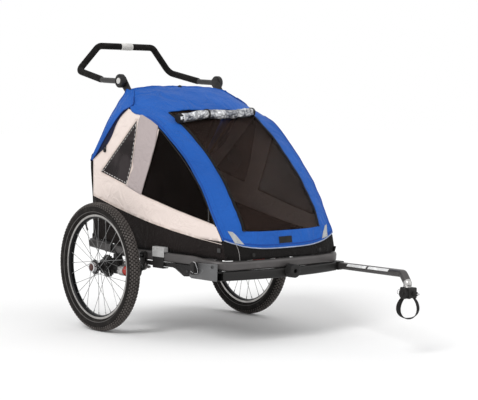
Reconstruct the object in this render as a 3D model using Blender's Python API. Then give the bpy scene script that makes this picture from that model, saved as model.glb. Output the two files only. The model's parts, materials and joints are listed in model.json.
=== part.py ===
"""Child bike trailer with a fabric cabin, sprung wheels, a push bar and a drawbar.

Metres, +Z up, +X forward, +Y left. Sizes are written from the wheel axle at X = 0, and one
shift at the end of this section puts the origin under the middle of the whole trailer.
"""

import math

import bmesh
import bpy
from mathutils import Matrix, Vector

# Clearances
GAP = 0.0003
RUNNING_GAP = 0.0005

# Swing arms: the wheels, brake rings and buffers take their places from them
ARM_IN = 0.3205
ARM_THICK = 0.0070
ARM_OUT = ARM_IN + ARM_THICK

# Wheels, 47-406
WHEEL_RADIUS = 0.250
WHEEL_REACH = 0.0475
WHEEL_Y = ARM_OUT + WHEEL_REACH
TYRE_WIDTH = 0.048
TYRE_HEIGHT = 0.0470
RIM_EDGE = WHEEL_RADIUS - TYRE_HEIGHT
RIM_DEPTH = 0.0140
RIM_BED = RIM_EDGE - RIM_DEPTH
RIM_WIDTH = 0.025
WHEEL_SEGMENTS = 32
SPOKES_PER_FLANGE = 14
SPOKE_RADIUS = 0.0010
FLANGE_RADIUS = 0.0290
HOLE_RADIUS = 0.0255
AXLE_RADIUS = 0.0058
FLANGE_IN = WHEEL_Y - 0.02025
FLANGE_OUT = WHEEL_Y + 0.01875
HUB_CAP_Y = WHEEL_Y + 0.0370
RING_RADIUS = 0.0440
RING_ROOT = 0.0380
RING_THICK = 0.0080
RING_IN = ARM_OUT + 0.0015
RING_OUT = RING_IN + RING_THICK
BARREL_RADIUS = 0.0200
RING_TEETH = 20

# Floor frame: a flat oval tube bent round the front
TUBE_WIDTH = 0.022
TUBE_HEIGHT = 0.035
FRAME_Y = 0.304
FRAME_INNER = FRAME_Y - TUBE_WIDTH / 2
FRAME_OUTER = FRAME_Y + TUBE_WIDTH / 2
FRAME_REAR = (-0.156, 0.3295)
FRAME_LOW_Z = 0.309
FRAME_FRONT_Z = 0.2967
FRAME_CORNER_X = 0.638
FRAME_NOSE_X = 0.676
CROSS_RADIUS = 0.0095
REAR_CROSS = (-0.150, 0.3290)
FLOOR_CROSS = (0.435, 0.3047)
POST_TOP = 0.480

# Front beam and drawbar receivers
BEAM_Z = 0.260
BEAM_END = (0.630, 0.2800)
BEAM_NOSE_X = 0.672
BEAM_DEPTH = 0.024
BEAM_HEIGHT = 0.032
BAR_SIZE = 0.026
BAR_Y = 0.3003
BAR_Z = 0.2622
MOUTH_X = 0.648
SOCKET_X = 0.500
PLATE_IN = FRAME_OUTER + RUNNING_GAP
PLATE_OUT = PLATE_IN + 0.004
KNOB_X = 0.535
PIN_Z = 0.270
PIN_RADIUS = 0.0035
HITCH = (1.183, 0.0975)

# Suspension
PIVOT = (0.222, 0.268)
BOLT_RADIUS = 0.005
CUP_Y = ARM_OUT + 0.0025
CUP_Z = 0.241
CUP_RADIUS = 0.021
CUP_MOUTH_X = 0.106
BUFFER_RADIUS = 0.018
PAD_X = 0.1865
LEAF_Y = 0.3018
LEAF_WIDTH = 0.0155
LEAF_HEIGHT = 0.0160
PAWL_HALF = 0.0025

# Cabin
TUB_HALF = 0.2400
TUB_WALL = 0.0025
TUB_FLOOR = 0.3145
TUB_TOP = 0.3450
SEAT_HALF = TUB_HALF - 0.0080
BOW_RADIUS = 0.0085
BOW_PIVOT = (0.600, 0.345)
BOW_PIVOT_Y = 0.253
BOW_INSET = 0.0112
BOW_SIDE_INSET = 0.016
LEG_RADIUS = 0.009
LEG_SLEEVE = 0.0105
LEG_PIVOT = (0.032, 0.894)
LEG_BEND = (-0.165, 0.650)
LEG_FOOT = (-0.150, 0.460)
LEG_Y = 0.262
TOP_Y = 0.2193
SEAT_BAR_SHARE = 0.875
SEAT_BAR_RADIUS = 0.0085
ROOF_BAR = (0.040, 0.9135)
SEAT_BACK_FOOT = (-0.0720, 0.3740)
SEAT_BACK_HEAD = (-0.1180, 0.7350)
SEAT_BACK_THICK = 0.018
SEAT_BACK_CROWN = 0.010
NECK_IN = TOP_Y + LEG_RADIUS + 0.0010
NECK_OUT = NECK_IN + 0.0060
CLOTH = 0.0025
SIDE_CLOTH = 0.0030
SIDE_Y = 0.297
SIDE_TAPER_X = 0.200
SIDE_TAPER = 0.063

# Push bar
HUB = (-0.035, 0.970)
HUB_RADIUS = 0.027
HUB_IN = NECK_OUT + RUNNING_GAP
HUB_PIN_OUT = HUB_IN + 0.0067
HUB_FLOOR = HUB_IN + 0.0117
HUB_OUT = HUB_IN + 0.0200
BAR_TUBE = 0.011
GRIP_RADIUS = 0.0135
SLEEVE_HALF = 0.029
BUTTON_RADIUS = 0.012
BUTTON_TRAVEL = 0.004

# Cover stations from the roof's rear edge down to the skirt's hem:
# edge X, edge Y, edge Z, then X and Z of the crown in the middle
COVER = [
    (0.030, 0.2400, 0.935, 0.022, 0.950),
    (0.107, 0.2970, 0.865, 0.110, 0.921),
    (0.188, 0.2970, 0.839, 0.195, 0.872),
    (0.279, 0.2900, 0.797, 0.297, 0.808),
    (0.361, 0.2830, 0.733, 0.390, 0.741),
    (0.428, 0.2770, 0.674, 0.462, 0.680),
    (0.501, 0.2770, 0.595, 0.540, 0.601),
    (0.535, 0.2750, 0.546, 0.580, 0.548),
    (0.570, 0.2750, 0.489, 0.623, 0.488),
    (0.596, 0.2720, 0.443, 0.647, 0.440),
    (0.629, 0.2680, 0.389, 0.666, 0.352),
    (0.640, 0.2680, 0.338, 0.671, 0.322),
]
COVER_POWER = 3.2
WINDOW_TOP = 3.0
WINDOW_FOOT = 9.3
WINDOW_TOP_SHARE = 0.700
WINDOW_FOOT_SHARE = 0.660

# Rear panel stations at its side edges, top to bottom: X, half width, Z
REAR_PANEL = [
    (0.012, 0.2080, 0.932),
    (0.005, 0.2100, 0.910),
    (0.004, 0.2180, 0.888),
    (-0.013, 0.2640, 0.860),
    (-0.072, 0.2830, 0.790),
    (-0.148, 0.2860, 0.697),
    (-0.180, 0.2870, 0.657),
    (-0.168, 0.2870, 0.500),
    (-0.166, 0.2870, 0.352),
]
REAR_BULGE = 0.012

# The frame's origin lies under the middle of the whole trailer
FRONT_END = 1.2270
REAR_END = -0.3576
ORIGIN_X = -(FRONT_END + REAR_END) / 2

UP = Vector((0, 0, 1))
ALONG_X = Vector((1, 0, 0))
ALONG_Y = Vector((0, 1, 0))
BEND_STEP = math.radians(16)
CORNER_STEP = math.radians(30)
LONGEST_CHORD = 0.110


def clear_scene():
    for ob in list(bpy.data.objects):
        bpy.data.objects.remove(ob, do_unlink=True)


# Mesh makers: each gives a closed mesh in trailer coordinates


def solid(points, faces):
    """Closed mesh with its faces pointing out."""
    mesh = bpy.data.meshes.new("solid")
    mesh.from_pydata([tuple(p) for p in points], [], faces)
    work = bmesh.new()
    work.from_mesh(mesh)
    bmesh.ops.recalc_face_normals(work, faces=work.faces)
    work.to_mesh(mesh)
    work.free()
    return mesh


def skin(rings, closed=False):
    """Quads over a run of rings with equal counts, capped unless the run closes on itself."""
    count = len(rings[0])
    points = [p for ring in rings for p in ring]
    faces = []
    for i in range(len(rings) if closed else len(rings) - 1):
        a = i * count
        b = (i + 1) % len(rings) * count
        for j in range(count):
            k = (j + 1) % count
            faces.append((a + j, a + k, b + k, b + j))
    if not closed:
        faces.append(tuple(range(count)))
        faces.append(tuple(range(len(points) - count, len(points))))
    return solid(points, faces)


def route(corners, step=BEND_STEP):
    """Points along straight runs joined by arcs. A corner is x, y, z and a bend radius."""
    line = [Vector(corners[0][:3])]
    for before, corner, after in zip(corners, corners[1:], corners[2:]):
        at = Vector(corner[:3])
        a = (Vector(before[:3]) - at).normalized()
        b = (Vector(after[:3]) - at).normalized()
        bend = math.pi - a.angle(b)
        reach = corner[3] * math.tan(bend / 2)
        centre = at + (a + b).normalized() * (corner[3] / math.cos(bend / 2))
        start = at + a * reach - centre
        end = at + b * reach - centre
        steps = max(1, round(bend / step), round(bend * corner[3] / LONGEST_CHORD))
        for k in range(steps + 1):
            line.append(centre + start.slerp(end, k / steps) * corner[3])
    line.append(Vector(corners[-1][:3]))
    return line


def both_sides(corners):
    """A left half's corners, then the same mirrored to the right."""
    other = [(x, -y, z, r) for x, y, z, r in reversed(corners) if y]
    return corners + other


def smooth_line(points, steps):
    """Catmull-Rom curve through the points."""
    points = [Vector(p) for p in points]
    ends = [2 * points[0] - points[1]] + points + [2 * points[-1] - points[-2]]
    line = []
    for a, b, c, d in zip(ends, ends[1:], ends[2:], ends[3:]):
        for k in range(steps):
            t = k / steps
            line.append(0.5 * (2 * b + (c - a) * t + (2 * a - 5 * b + 4 * c - d) * t * t
                               + (3 * b - a - 3 * c + d) * t ** 3))
    line.append(points[-1])
    return line


def circle(radius, sides):
    """Section points of a round tube, with its corners on the true radius."""
    return [(radius * math.cos(2 * math.pi * k / sides), radius * math.sin(2 * math.pi * k / sides))
            for k in range(sides)]


def round_box(width, height, radius, steps=2):
    """Section points of a rectangle with round corners."""
    points = []
    for quarter in range(4):
        sx = 1 if quarter in (0, 3) else -1
        sy = 1 if quarter in (0, 1) else -1
        for k in range(steps + 1):
            turn = math.pi / 2 * (quarter + k / steps)
            points.append((sx * (width / 2 - radius) + radius * math.cos(turn),
                           sy * (height / 2 - radius) + radius * math.sin(turn)))
    return points


def frames_along(line, side):
    """At each point the two directions across the line, carried along without twist."""
    frames = []
    for i, point in enumerate(line):
        forward = (line[min(i + 1, len(line) - 1)] - line[max(i - 1, 0)]).normalized()
        side = (side - forward * side.dot(forward)).normalized()
        frames.append((point, side, side.cross(forward)))
    return frames


def sweep(line, section, side=ALONG_Y, bore=None, closed=False):
    """A section carried along a line, with a bore if one is given."""
    line = [p for i, p in enumerate(line) if i == 0 or (p - line[i - 1]).length > 1e-5]
    rings = []
    inner = []
    for point, across, rise in frames_along(line, side):
        rings.append([point + across * a + rise * b for a, b in section])
        if bore:
            inner.append([point + across * a + rise * b for a, b in bore])
    if bore:
        return skin(rings + inner[::-1], closed=True)
    return skin(rings, closed=closed)


def turned(profile, centre, axis, segments, ring=False):
    """A profile of (radius, distance along the axis) turned about the axis."""
    axis = Vector(axis)
    across = UP if axis.cross(UP).length > 0.5 else ALONG_X
    across = (across - axis * across.dot(axis)).normalized()
    other = axis.cross(across)
    rings = []
    for radius, along in profile:
        middle = Vector(centre) + axis * along
        turns = [2 * math.pi * k / segments for k in range(segments)]
        rings.append([middle + across * radius * math.cos(t) + other * radius * math.sin(t)
                      for t in turns])
    return skin(rings, closed=ring)


def rod(start, end, radius, segments=12):
    """Plain cylinder between two points."""
    start = Vector(start)
    run = Vector(end) - start
    return turned([(radius, 0), (radius, run.length)], start, run.normalized(), segments)


def prism(outline, low, high):
    """An outline in X and Z given thickness from Y = low to Y = high."""
    return skin([[Vector((x, y, z)) for x, z in outline] for y in (low, high)])


def section_prism(outline, low, high):
    """An outline in Y and Z given length from X = low to X = high."""
    return skin([[Vector((x, y, z)) for y, z in outline] for x in (low, high)])


def slab(outline, low, high):
    """An outline in X and Y given height from Z = low to Z = high."""
    return skin([[Vector((x, y, z)) for x, y in outline] for z in (low, high)])


def box(x, y, z):
    """A block between pairs of limits."""
    return prism([(x[0], z[0]), (x[1], z[0]), (x[1], z[1]), (x[0], z[1])], y[0], y[1])


def in_triangles(mesh):
    """The mesh with its bent quads split, so that its surface is the same everywhere."""
    work = bmesh.new()
    work.from_mesh(mesh)
    bmesh.ops.triangulate(work, faces=work.faces, quad_method="SHORT_EDGE")
    work.to_mesh(mesh)
    work.free()
    return mesh


def rounded(outline, radius):
    """A closed outline with each corner rounded."""
    points = []
    count = len(outline)
    for i, (x, z) in enumerate(outline):
        before = outline[i - 1]
        after = outline[(i + 1) % count]
        corner = [(before[0], before[1], 0, 0), (x, z, 0, radius), (after[0], after[1], 0, 0)]
        points += [(p.x, p.y) for p in route(corner, CORNER_STEP)[1:-1]]
    return points


def hull_of_circles(circles, steps=5):
    """Outline round two circles (x, z, radius) and their common tangents."""
    (x0, z0, r0), (x1, z1, r1) = circles
    heading = math.atan2(z1 - z0, x1 - x0)
    lean = math.acos((r0 - r1) / math.hypot(x1 - x0, z1 - z0))
    points = []
    for k in range(steps + 1):
        turn = heading + lean + (2 * math.pi - 2 * lean) * k / steps
        points.append((x0 + r0 * math.cos(turn), z0 + r0 * math.sin(turn)))
    for k in range(steps + 1):
        turn = heading - lean + 2 * lean * k / steps
        points.append((x1 + r1 * math.cos(turn), z1 + r1 * math.sin(turn)))
    return points


def combine(base, tools, operation):
    """One mesh from a base and the tools that are joined to it or cut from it."""
    body = bpy.data.objects.new("body", base)
    bpy.context.collection.objects.link(body)
    made = [body]
    for tool in tools:
        cutter = bpy.data.objects.new("tool", tool)
        bpy.context.collection.objects.link(cutter)
        made.append(cutter)
        step = body.modifiers.new("combine", "BOOLEAN")
        step.solver = "EXACT"
        step.operation = operation
        step.object = cutter
    view = bpy.context.evaluated_depsgraph_get()
    result = bpy.data.meshes.new_from_object(body.evaluated_get(view))
    for ob in made:
        bpy.data.objects.remove(ob, do_unlink=True)
    return result


def unite(base, *tools):
    return combine(base, tools, "UNION")


def cut(base, *tools):
    return combine(base, tools, "DIFFERENCE")


def bevelled(mesh, width, angle=40):
    """The mesh with its sharp edges chamfered."""
    work = bmesh.new()
    work.from_mesh(mesh)
    sharp = [e for e in work.edges if e.is_manifold and e.calc_face_angle() > math.radians(angle)]
    bmesh.ops.bevel(work, geom=sharp, offset=width, segments=1, affect="EDGES", profile=0.5)
    work.to_mesh(mesh)
    work.free()
    return mesh


def mirrored(mesh):
    """The same mesh on the other side of the trailer."""
    copy = mesh.copy()
    copy.transform(Matrix.Scale(-1, 4, ALONG_Y))
    copy.flip_normals()
    return copy


# Objects: axes are empties, and each piece hangs from the axis that it moves about

HOMES = {}
MATERIALS = {}


def axis_at(name, at, parent):
    """An empty on a joint's axis."""
    empty = bpy.data.objects.new(name, None)
    bpy.context.collection.objects.link(empty)
    empty.empty_display_size = 0.03
    if parent:
        empty.parent = parent
        empty.location = Vector(at) - HOMES[parent.name]
    HOMES[name] = Vector(at)
    return empty


def paint(name, colour, roughness, metallic=0.0):
    material = bpy.data.materials.new(name)
    material.use_nodes = True
    shader = material.node_tree.nodes["Principled BSDF"]
    shader.inputs["Base Color"].default_value = (*colour, 1.0)
    shader.inputs["Roughness"].default_value = roughness
    shader.inputs["Metallic"].default_value = metallic
    MATERIALS[name] = material


def piece(name, mesh, material, carrier, smooth=35):
    """A named object, with its origin on its carrier's axis."""
    mesh.transform(Matrix.Translation(-HOMES[carrier.name]))
    mesh.name = name
    mesh.shade_smooth()
    mesh.set_sharp_from_angle(angle=math.radians(smooth))
    mesh.materials.clear()
    mesh.materials.append(MATERIALS[material])
    ob = bpy.data.objects.new(name, mesh)
    bpy.context.collection.objects.link(ob)
    ob.parent = carrier
    return ob


def pair(name, mesh, material, carriers, smooth=35):
    """The left piece as modelled, and its mirror on the right."""
    other = mirrored(mesh)
    piece(name + "_left", mesh, material, carriers["left"], smooth)
    piece(name + "_right", other, material, carriers["right"], smooth)


def make_materials():
    paint("frame_grey", (0.105, 0.105, 0.11), 0.45, 0.6)
    paint("black_plastic", (0.018, 0.018, 0.019), 0.55)
    paint("black_steel", (0.02, 0.02, 0.021), 0.4, 0.7)
    paint("silver", (0.62, 0.61, 0.6), 0.3, 1.0)
    paint("spoke_steel", (0.55, 0.55, 0.55), 0.3, 1.0)
    paint("tyre_rubber", (0.022, 0.021, 0.02), 0.85)
    paint("foam", (0.02, 0.02, 0.02), 0.9)
    paint("red_elastomer", (0.45, 0.04, 0.03), 0.5)
    paint("blue_cloth", (0.02, 0.115, 0.53), 0.8)
    paint("cream_cloth", (0.76, 0.69, 0.64), 0.85)
    paint("black_cloth", (0.022, 0.017, 0.016), 0.9)
    paint("mesh_cloth", (0.05, 0.035, 0.03), 0.7)
    paint("tinted_film", (0.05, 0.045, 0.05), 0.15)
    paint("clear_film", (0.55, 0.58, 0.6), 0.12)
    paint("webbing", (0.015, 0.015, 0.016), 0.8)


# Wheels


def make_tyre():
    half = TYRE_WIDTH / 2
    bead = RIM_EDGE + GAP
    outer = [(bead, RIM_WIDTH / 2 - 0.0008), (RIM_EDGE + 0.0080, half - 0.0040), (RIM_EDGE + 0.0205, half),
             (WHEEL_RADIUS - 0.0120, half - 0.0028), (WHEEL_RADIUS - 0.0032, half - 0.0130)]
    profile = outer + [(WHEEL_RADIUS, 0)] + [(r, -a) for r, a in reversed(outer)]
    profile += [(WHEEL_RADIUS - 0.0060, 0)]
    mesh = turned(profile, (0, WHEEL_Y, WHEEL_RADIUS), ALONG_Y, WHEEL_SEGMENTS, ring=True)
    return with_tread_blocks(mesh)


def with_tread_blocks(mesh):
    """Every other shoulder face of the tyre raised as a block."""
    work = bmesh.new()
    work.from_mesh(mesh)
    centre = Vector((0, WHEEL_Y, WHEEL_RADIUS))
    block_height = 0.0014
    block_margin = 0.0030
    raised = []
    for face in work.faces:
        spot = face.calc_center_median() - centre
        radius = math.hypot(spot.x, spot.z)
        step = math.atan2(spot.z, spot.x) / (2 * math.pi) * WHEEL_SEGMENTS
        shoulder = 0.0060 < WHEEL_RADIUS - radius < 0.0115 and face.normal.dot(spot) > 0
        if shoulder and math.floor(step) % 2 == (spot.y > 0):
            raised.append(face)
    bmesh.ops.inset_individual(work, faces=raised, thickness=block_margin, depth=block_height)
    work.to_mesh(mesh)
    work.free()
    return mesh


def make_rim():
    half = RIM_WIDTH / 2
    side = [(RIM_BED, half - 0.0065), (RIM_BED + 0.0040, half - 0.0003), (RIM_EDGE, half)]
    profile = side + [(r, -a) for r, a in reversed(side)]
    return turned(profile, (0, WHEEL_Y, WHEEL_RADIUS), ALONG_Y, WHEEL_SEGMENTS, ring=True)


def make_spoke(flange_y, rim_y, lead, turn):
    """One straight spoke, leaning from a flange hole to the rim bed."""
    reach = RIM_BED * math.cos(math.pi / WHEEL_SEGMENTS) - 2 * GAP
    swing = 2 * (2 * math.pi / SPOKES_PER_FLANGE) * lead
    offset = 0.0016 * lead
    hole = Vector((HOLE_RADIUS * math.cos(turn), flange_y + offset, HOLE_RADIUS * math.sin(turn)))
    end = Vector((reach * math.cos(turn + swing), rim_y + offset, reach * math.sin(turn + swing)))
    lift = Vector((0, 0, WHEEL_RADIUS))
    return rod(hole + lift, end + lift, SPOKE_RADIUS, 4)


def make_hub():
    """Hub with two flanges and a button recess outwards, laced to the rim with crossed spokes."""
    web = 0.00125
    profile = [
        (0.0235, RING_OUT + GAP), (0.0180, FLANGE_IN - 0.00575),
        (0.0180, FLANGE_IN - web), (FLANGE_RADIUS, FLANGE_IN - web), (FLANGE_RADIUS, FLANGE_IN + web),
        (0.0165, FLANGE_IN + 0.0040), (0.0165, FLANGE_OUT - 0.0040),
        (FLANGE_RADIUS, FLANGE_OUT - web), (FLANGE_RADIUS, FLANGE_OUT + web),
        (0.0205, FLANGE_OUT + 0.0030), (0.0205, HUB_CAP_Y - 0.0020), (0.0185, HUB_CAP_Y),
        (0.0103, HUB_CAP_Y), (0.0103, HUB_CAP_Y - 0.0080),
    ]
    hub = turned(profile, (0, 0, WHEEL_RADIUS), ALONG_Y, 12)
    spokes = []
    pitch = 2 * math.pi / SPOKES_PER_FLANGE
    for flange_y, rim_y, start in ((FLANGE_IN, WHEEL_Y - 0.002, 0), (FLANGE_OUT, WHEEL_Y + 0.002, 0.5)):
        for k in range(SPOKES_PER_FLANGE):
            lead = 1 if k % 2 else -1
            spokes.append(make_spoke(flange_y, rim_y, lead, (k + start) * pitch))
    return unite(hub, *spokes)


def make_brake_ring():
    """Toothed ring with a gap towards the pawl and four holes, on the barrel of the axle stub."""
    outline = []
    for k in range(RING_TEETH):
        tooth = 2 * math.pi * (k + 0.5) / RING_TEETH
        for radius, share in ((RING_ROOT, -0.27), (RING_RADIUS, -0.20), (RING_RADIUS, 0.20),
                              (RING_ROOT, 0.27)):
            turn = tooth + share * 2 * math.pi / RING_TEETH
            outline.append((radius * math.cos(turn), WHEEL_RADIUS + radius * math.sin(turn)))
    ring = prism(outline, RING_IN, RING_OUT)
    stub = turned([(AXLE_RADIUS, ARM_IN - 0.0280), (AXLE_RADIUS, ARM_OUT + 0.0008),
                   (BARREL_RADIUS, ARM_OUT + 0.0008), (BARREL_RADIUS, RING_OUT - 0.0010)],
                  (0, 0, WHEEL_RADIUS), ALONG_Y, 10)
    tools = []
    for k in range(4):
        turn = math.pi / 4 + k * math.pi / 2
        x = 0.0285 * math.cos(turn)
        z = WHEEL_RADIUS + 0.0285 * math.sin(turn)
        tools.append(rod((x, RING_IN - 0.01, z), (x, RING_OUT + 0.01, z), 0.0060, 6))
    return unite(cut(ring, *tools), stub)


def make_axle_button():
    low = HUB_CAP_Y - 0.0040
    profile = [(0.0097, low), (0.0097, HUB_CAP_Y + 0.0008), (0.0080, HUB_CAP_Y + 0.0018)]
    return turned(profile, (0, 0, WHEEL_RADIUS), ALONG_Y, 16)


# Chassis


def make_floor_frame():
    corners = [
        (FRAME_REAR[0], FRAME_Y, FRAME_REAR[1], 0),
        (0.060, FRAME_Y, FRAME_LOW_Z, 0.15),
        (0.500, FRAME_Y, FRAME_LOW_Z, 0.30),
        (FRAME_CORNER_X, FRAME_Y, FRAME_FRONT_Z, 0.075),
        (FRAME_NOSE_X, 0, FRAME_FRONT_Z, 0.90),
    ]
    tube = sweep(route(both_sides(corners)), round_box(TUBE_WIDTH, TUBE_HEIGHT, 0.0105, 2))
    extras = []
    for side in (1, -1):
        extras += [m if side == 1 else mirrored(m) for m in frame_fittings()]
    return unite(tube, *extras)


def frame_fittings():
    """The left side's cabin pivot ear with its pin, axle travel stop and rear eyelet."""
    x, z = BOW_PIVOT
    ear_in = BOW_PIVOT_Y + BOW_RADIUS + RUNNING_GAP
    ear_out = ear_in + 0.005
    ear = prism(hull_of_circles([(x, z, 0.013), (x, 0.308, 0.013)]), ear_in, ear_out)
    lug = box((x - 0.012, x + 0.012), (ear_in, FRAME_INNER + 0.004), (0.297, 0.315))
    pin = rod((x, BOW_PIVOT_Y - 0.008, z), (x, ear_in + 0.001, z), BOLT_RADIUS)
    stop = prism(rounded([(-0.030, 0.3025), (0.008, 0.3025), (0.008, 0.336), (-0.030, 0.338)], 0.005),
                 FRAME_OUTER - 0.002, ARM_OUT)
    eyelet = prism(hull_of_circles([(-0.137, 0.360, 0.010), (-0.137, 0.340, 0.010)]),
                   FRAME_Y - 0.002, FRAME_Y + 0.002)
    eyelet = cut(eyelet, rod((-0.137, FRAME_Y - 0.01, 0.360), (-0.137, FRAME_Y + 0.01, 0.360), 0.005, 8))
    return [ear, lug, pin, stop, eyelet]


def make_rear_cross_tube():
    """Tube between the frame's ends with the latch posts and the pedal's ears."""
    x, z = REAR_CROSS
    end = FRAME_INNER - GAP
    tube = rod((x, -end, z), (x, end, z), CROSS_RADIUS, 14)
    extras = []
    for side in (1, -1):
        post_in = LEG_Y + LEG_RADIUS + RUNNING_GAP
        post = prism(rounded([(x - 0.0138, z), (x + 0.016, z), (x + 0.013, POST_TOP),
                              (x - 0.0138, POST_TOP)], 0.006), post_in, post_in + 0.006)
        ear = prism(hull_of_circles([(x, z, 0.009), (PEDAL[0], PEDAL[1], 0.008)]), 0.0180, 0.0220)
        extras += [post, ear] if side == 1 else [mirrored(post), mirrored(ear)]
    pin = rod((PEDAL[0], -0.0200, PEDAL[1]), (PEDAL[0], 0.0200, PEDAL[1]), 0.004, 10)
    return unite(tube, *extras, pin)


PEDAL = (-0.1760, 0.3190)


def make_brake_pedal():
    """Foot pedal: a sleeve on the pin, an arm and a ribbed tread."""
    x, z = PEDAL
    sleeve = rod((x, -0.0176, z), (x, 0.0176, z), 0.0078, 14)
    arm = box((x - 0.035, x - 0.004), (-0.012, 0.012), (z - 0.004, z + 0.004))
    tread = prism(rounded([(x - 0.075, z - 0.007), (x - 0.030, z - 0.004), (x - 0.030, z + 0.004),
                           (x - 0.075, z + 0.002)], 0.002), -0.034, 0.034)
    ribs = [box((x - 0.070 + k * 0.012, x - 0.065 + k * 0.012), (-0.029, 0.029), (z, z + 0.0052))
            for k in range(3)]
    pedal = unite(sleeve, arm, tread, *ribs)
    return cut(pedal, rod((x, -0.03, z), (x, 0.03, z), 0.0045, 10))


def make_floor_cross_tube():
    end = FRAME_INNER - GAP
    return rod((FLOOR_CROSS[0], -end, FLOOR_CROSS[1]), (FLOOR_CROSS[0], end, FLOOR_CROSS[1]), CROSS_RADIUS, 14)


def make_front_beam():
    """Bumper beam on one arc from receiver to receiver."""
    rise = BEAM_NOSE_X - BEAM_END[0]
    radius = (BEAM_END[1] ** 2 + rise ** 2) / (2 * rise)
    reach = math.asin(BEAM_END[1] / radius)
    line = []
    for k in range(7):
        turn = reach * (1 - k / 3)
        line.append(Vector((BEAM_NOSE_X - radius * (1 - math.cos(turn)), radius * math.sin(turn), BEAM_Z)))
    return sweep(line, round_box(BEAM_DEPTH, BEAM_HEIGHT, 0.007, 2), side=ALONG_X)


def make_wheel_socket():
    """Round socket on the beam's nose for a front wheel."""
    back = BEAM_NOSE_X + BEAM_DEPTH / 2 + GAP
    front = 0.7180
    profile = [(0.0250, back), (0.0250, front - 0.003), (0.0220, front), (0.0080, front),
               (0.0080, front - 0.022)]
    return turned(profile, (0, 0, 0.268), ALONG_X, 16)


def make_receiver():
    """Square socket for the drawbar under the frame, with its side plate."""
    half = BAR_SIZE / 2 + 0.0006
    block = box((SOCKET_X, MOUTH_X), (BAR_Y - half - 0.0028, PLATE_OUT), (BAR_Z - half - 0.0022, 0.2780))
    plate = prism([(0.4935, 0.2520), (0.505, BAR_Z - half - 0.0022), (MOUTH_X, BAR_Z - half - 0.0022),
                   (MOUTH_X + 0.003, 0.3095), (0.540, 0.3045), (0.500, 0.2800)], PLATE_IN, PLATE_OUT)
    bore = box((SOCKET_X + 0.030, MOUTH_X + 0.02), (BAR_Y - half, BAR_Y + half), (BAR_Z - half, BAR_Z + half))
    hole = rod((KNOB_X, BAR_Y, PIN_Z), (KNOB_X, PLATE_OUT + 0.01, PIN_Z), PIN_RADIUS + 0.0004, 12)
    bolt_hole = rod((0.622, PLATE_OUT - 0.0015, 0.297), (0.622, PLATE_OUT + 0.01, 0.297), 0.0035, 10)
    return cut(unite(block, plate), bore, hole, bolt_hole)


def make_lock_knob():
    face = PLATE_OUT + GAP
    outline = rounded([(KNOB_X - 0.013, 0.2635), (KNOB_X + 0.013, 0.2635), (KNOB_X + 0.010, 0.3085),
                       (KNOB_X - 0.010, 0.3085)], 0.0095)
    head = bevelled(prism(outline, face, face + 0.022), 0.002)
    pin = rod((KNOB_X, BAR_Y + 0.006, PIN_Z), (KNOB_X, face + 0.001, PIN_Z), PIN_RADIUS, 10)
    return unite(head, pin)


def make_pivot_bracket():
    """Fork on the frame's outer face with the pivot bolt and the buffer's pad."""
    x, z = PIVOT
    inner = (PLATE_IN + 0.0002, ARM_IN - RUNNING_GAP)
    outer = (ARM_OUT + RUNNING_GAP, ARM_OUT + 0.0055)
    outline = hull_of_circles([(x, z, 0.014), (x, 0.312, 0.013)])
    block = box((x - 0.013, x + 0.013), (inner[0], outer[1]), (0.300, 0.320))
    bolt = rod((x, inner[0] + 0.001, z), (x, outer[1] + 0.004, z), BOLT_RADIUS, 12)
    head = rod((x, outer[1] - 0.001, z), (x, outer[1] + 0.004, z), 0.0080, 6)
    pad = rod((PAD_X, CUP_Y, CUP_Z), (PAD_X + 0.006, CUP_Y, CUP_Z), 0.019, 16)
    brace = prism([(PAD_X + 0.005, 0.236), (PAD_X + 0.010, 0.231), (x + 0.006, 0.256), (x - 0.010, 0.268),
                   (PAD_X + 0.005, 0.2590)], outer[0], outer[1])
    return unite(prism(outline, *inner), prism(outline, *outer), block, bolt, head, pad, brace)


def make_leaf_spring():
    """Flat spring under the frame tube with the moulded clamp at its front end."""
    section = round_box(LEAF_WIDTH, LEAF_HEIGHT, 0.003, 1)
    leaf = sweep([Vector((0.197, LEAF_Y, 0.2795)), Vector((0.405, LEAF_Y, 0.2825))], section)
    clamp = prism([(0.392, 0.2735), (0.400, 0.2735), (0.455, 0.2480), (0.4925, 0.2510), (0.4925, 0.2908),
                   (0.392, 0.2908)], FRAME_INNER + 0.001, FRAME_OUTER - 0.0005)
    return unite(leaf, clamp)


ADJUSTER_X = (0.268, 0.338)


def make_adjuster():
    """Preload slider: a ribbed saddle on the tube, hooked under the leaf spring."""
    inside = SIDE_Y + RUNNING_GAP
    outside = FRAME_OUTER + RUNNING_GAP
    wall = 0.0035
    top = FRAME_LOW_Z + TUBE_HEIGHT / 2 + RUNNING_GAP
    leaf_under = 0.2700
    leaf_in = LEAF_Y - LEAF_WIDTH / 2
    outline = [
        (outside + wall, leaf_under - wall), (outside + wall, 0.3430), (outside, 0.3462), (inside + 0.002, 0.3462),
        (inside, 0.3440), (inside, top), (outside, top), (outside, leaf_under), (leaf_in, leaf_under),
        (leaf_in, leaf_under - wall),
    ]
    body = section_prism(outline, *ADJUSTER_X)
    grooves = [box((ADJUSTER_X[0] + 0.008 + k * 0.0145, ADJUSTER_X[0] + 0.014 + k * 0.0145),
                   (inside - 0.01, outside + 0.01), (0.3445, 0.36)) for k in range(4)]
    return cut(body, *grooves)


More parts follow.
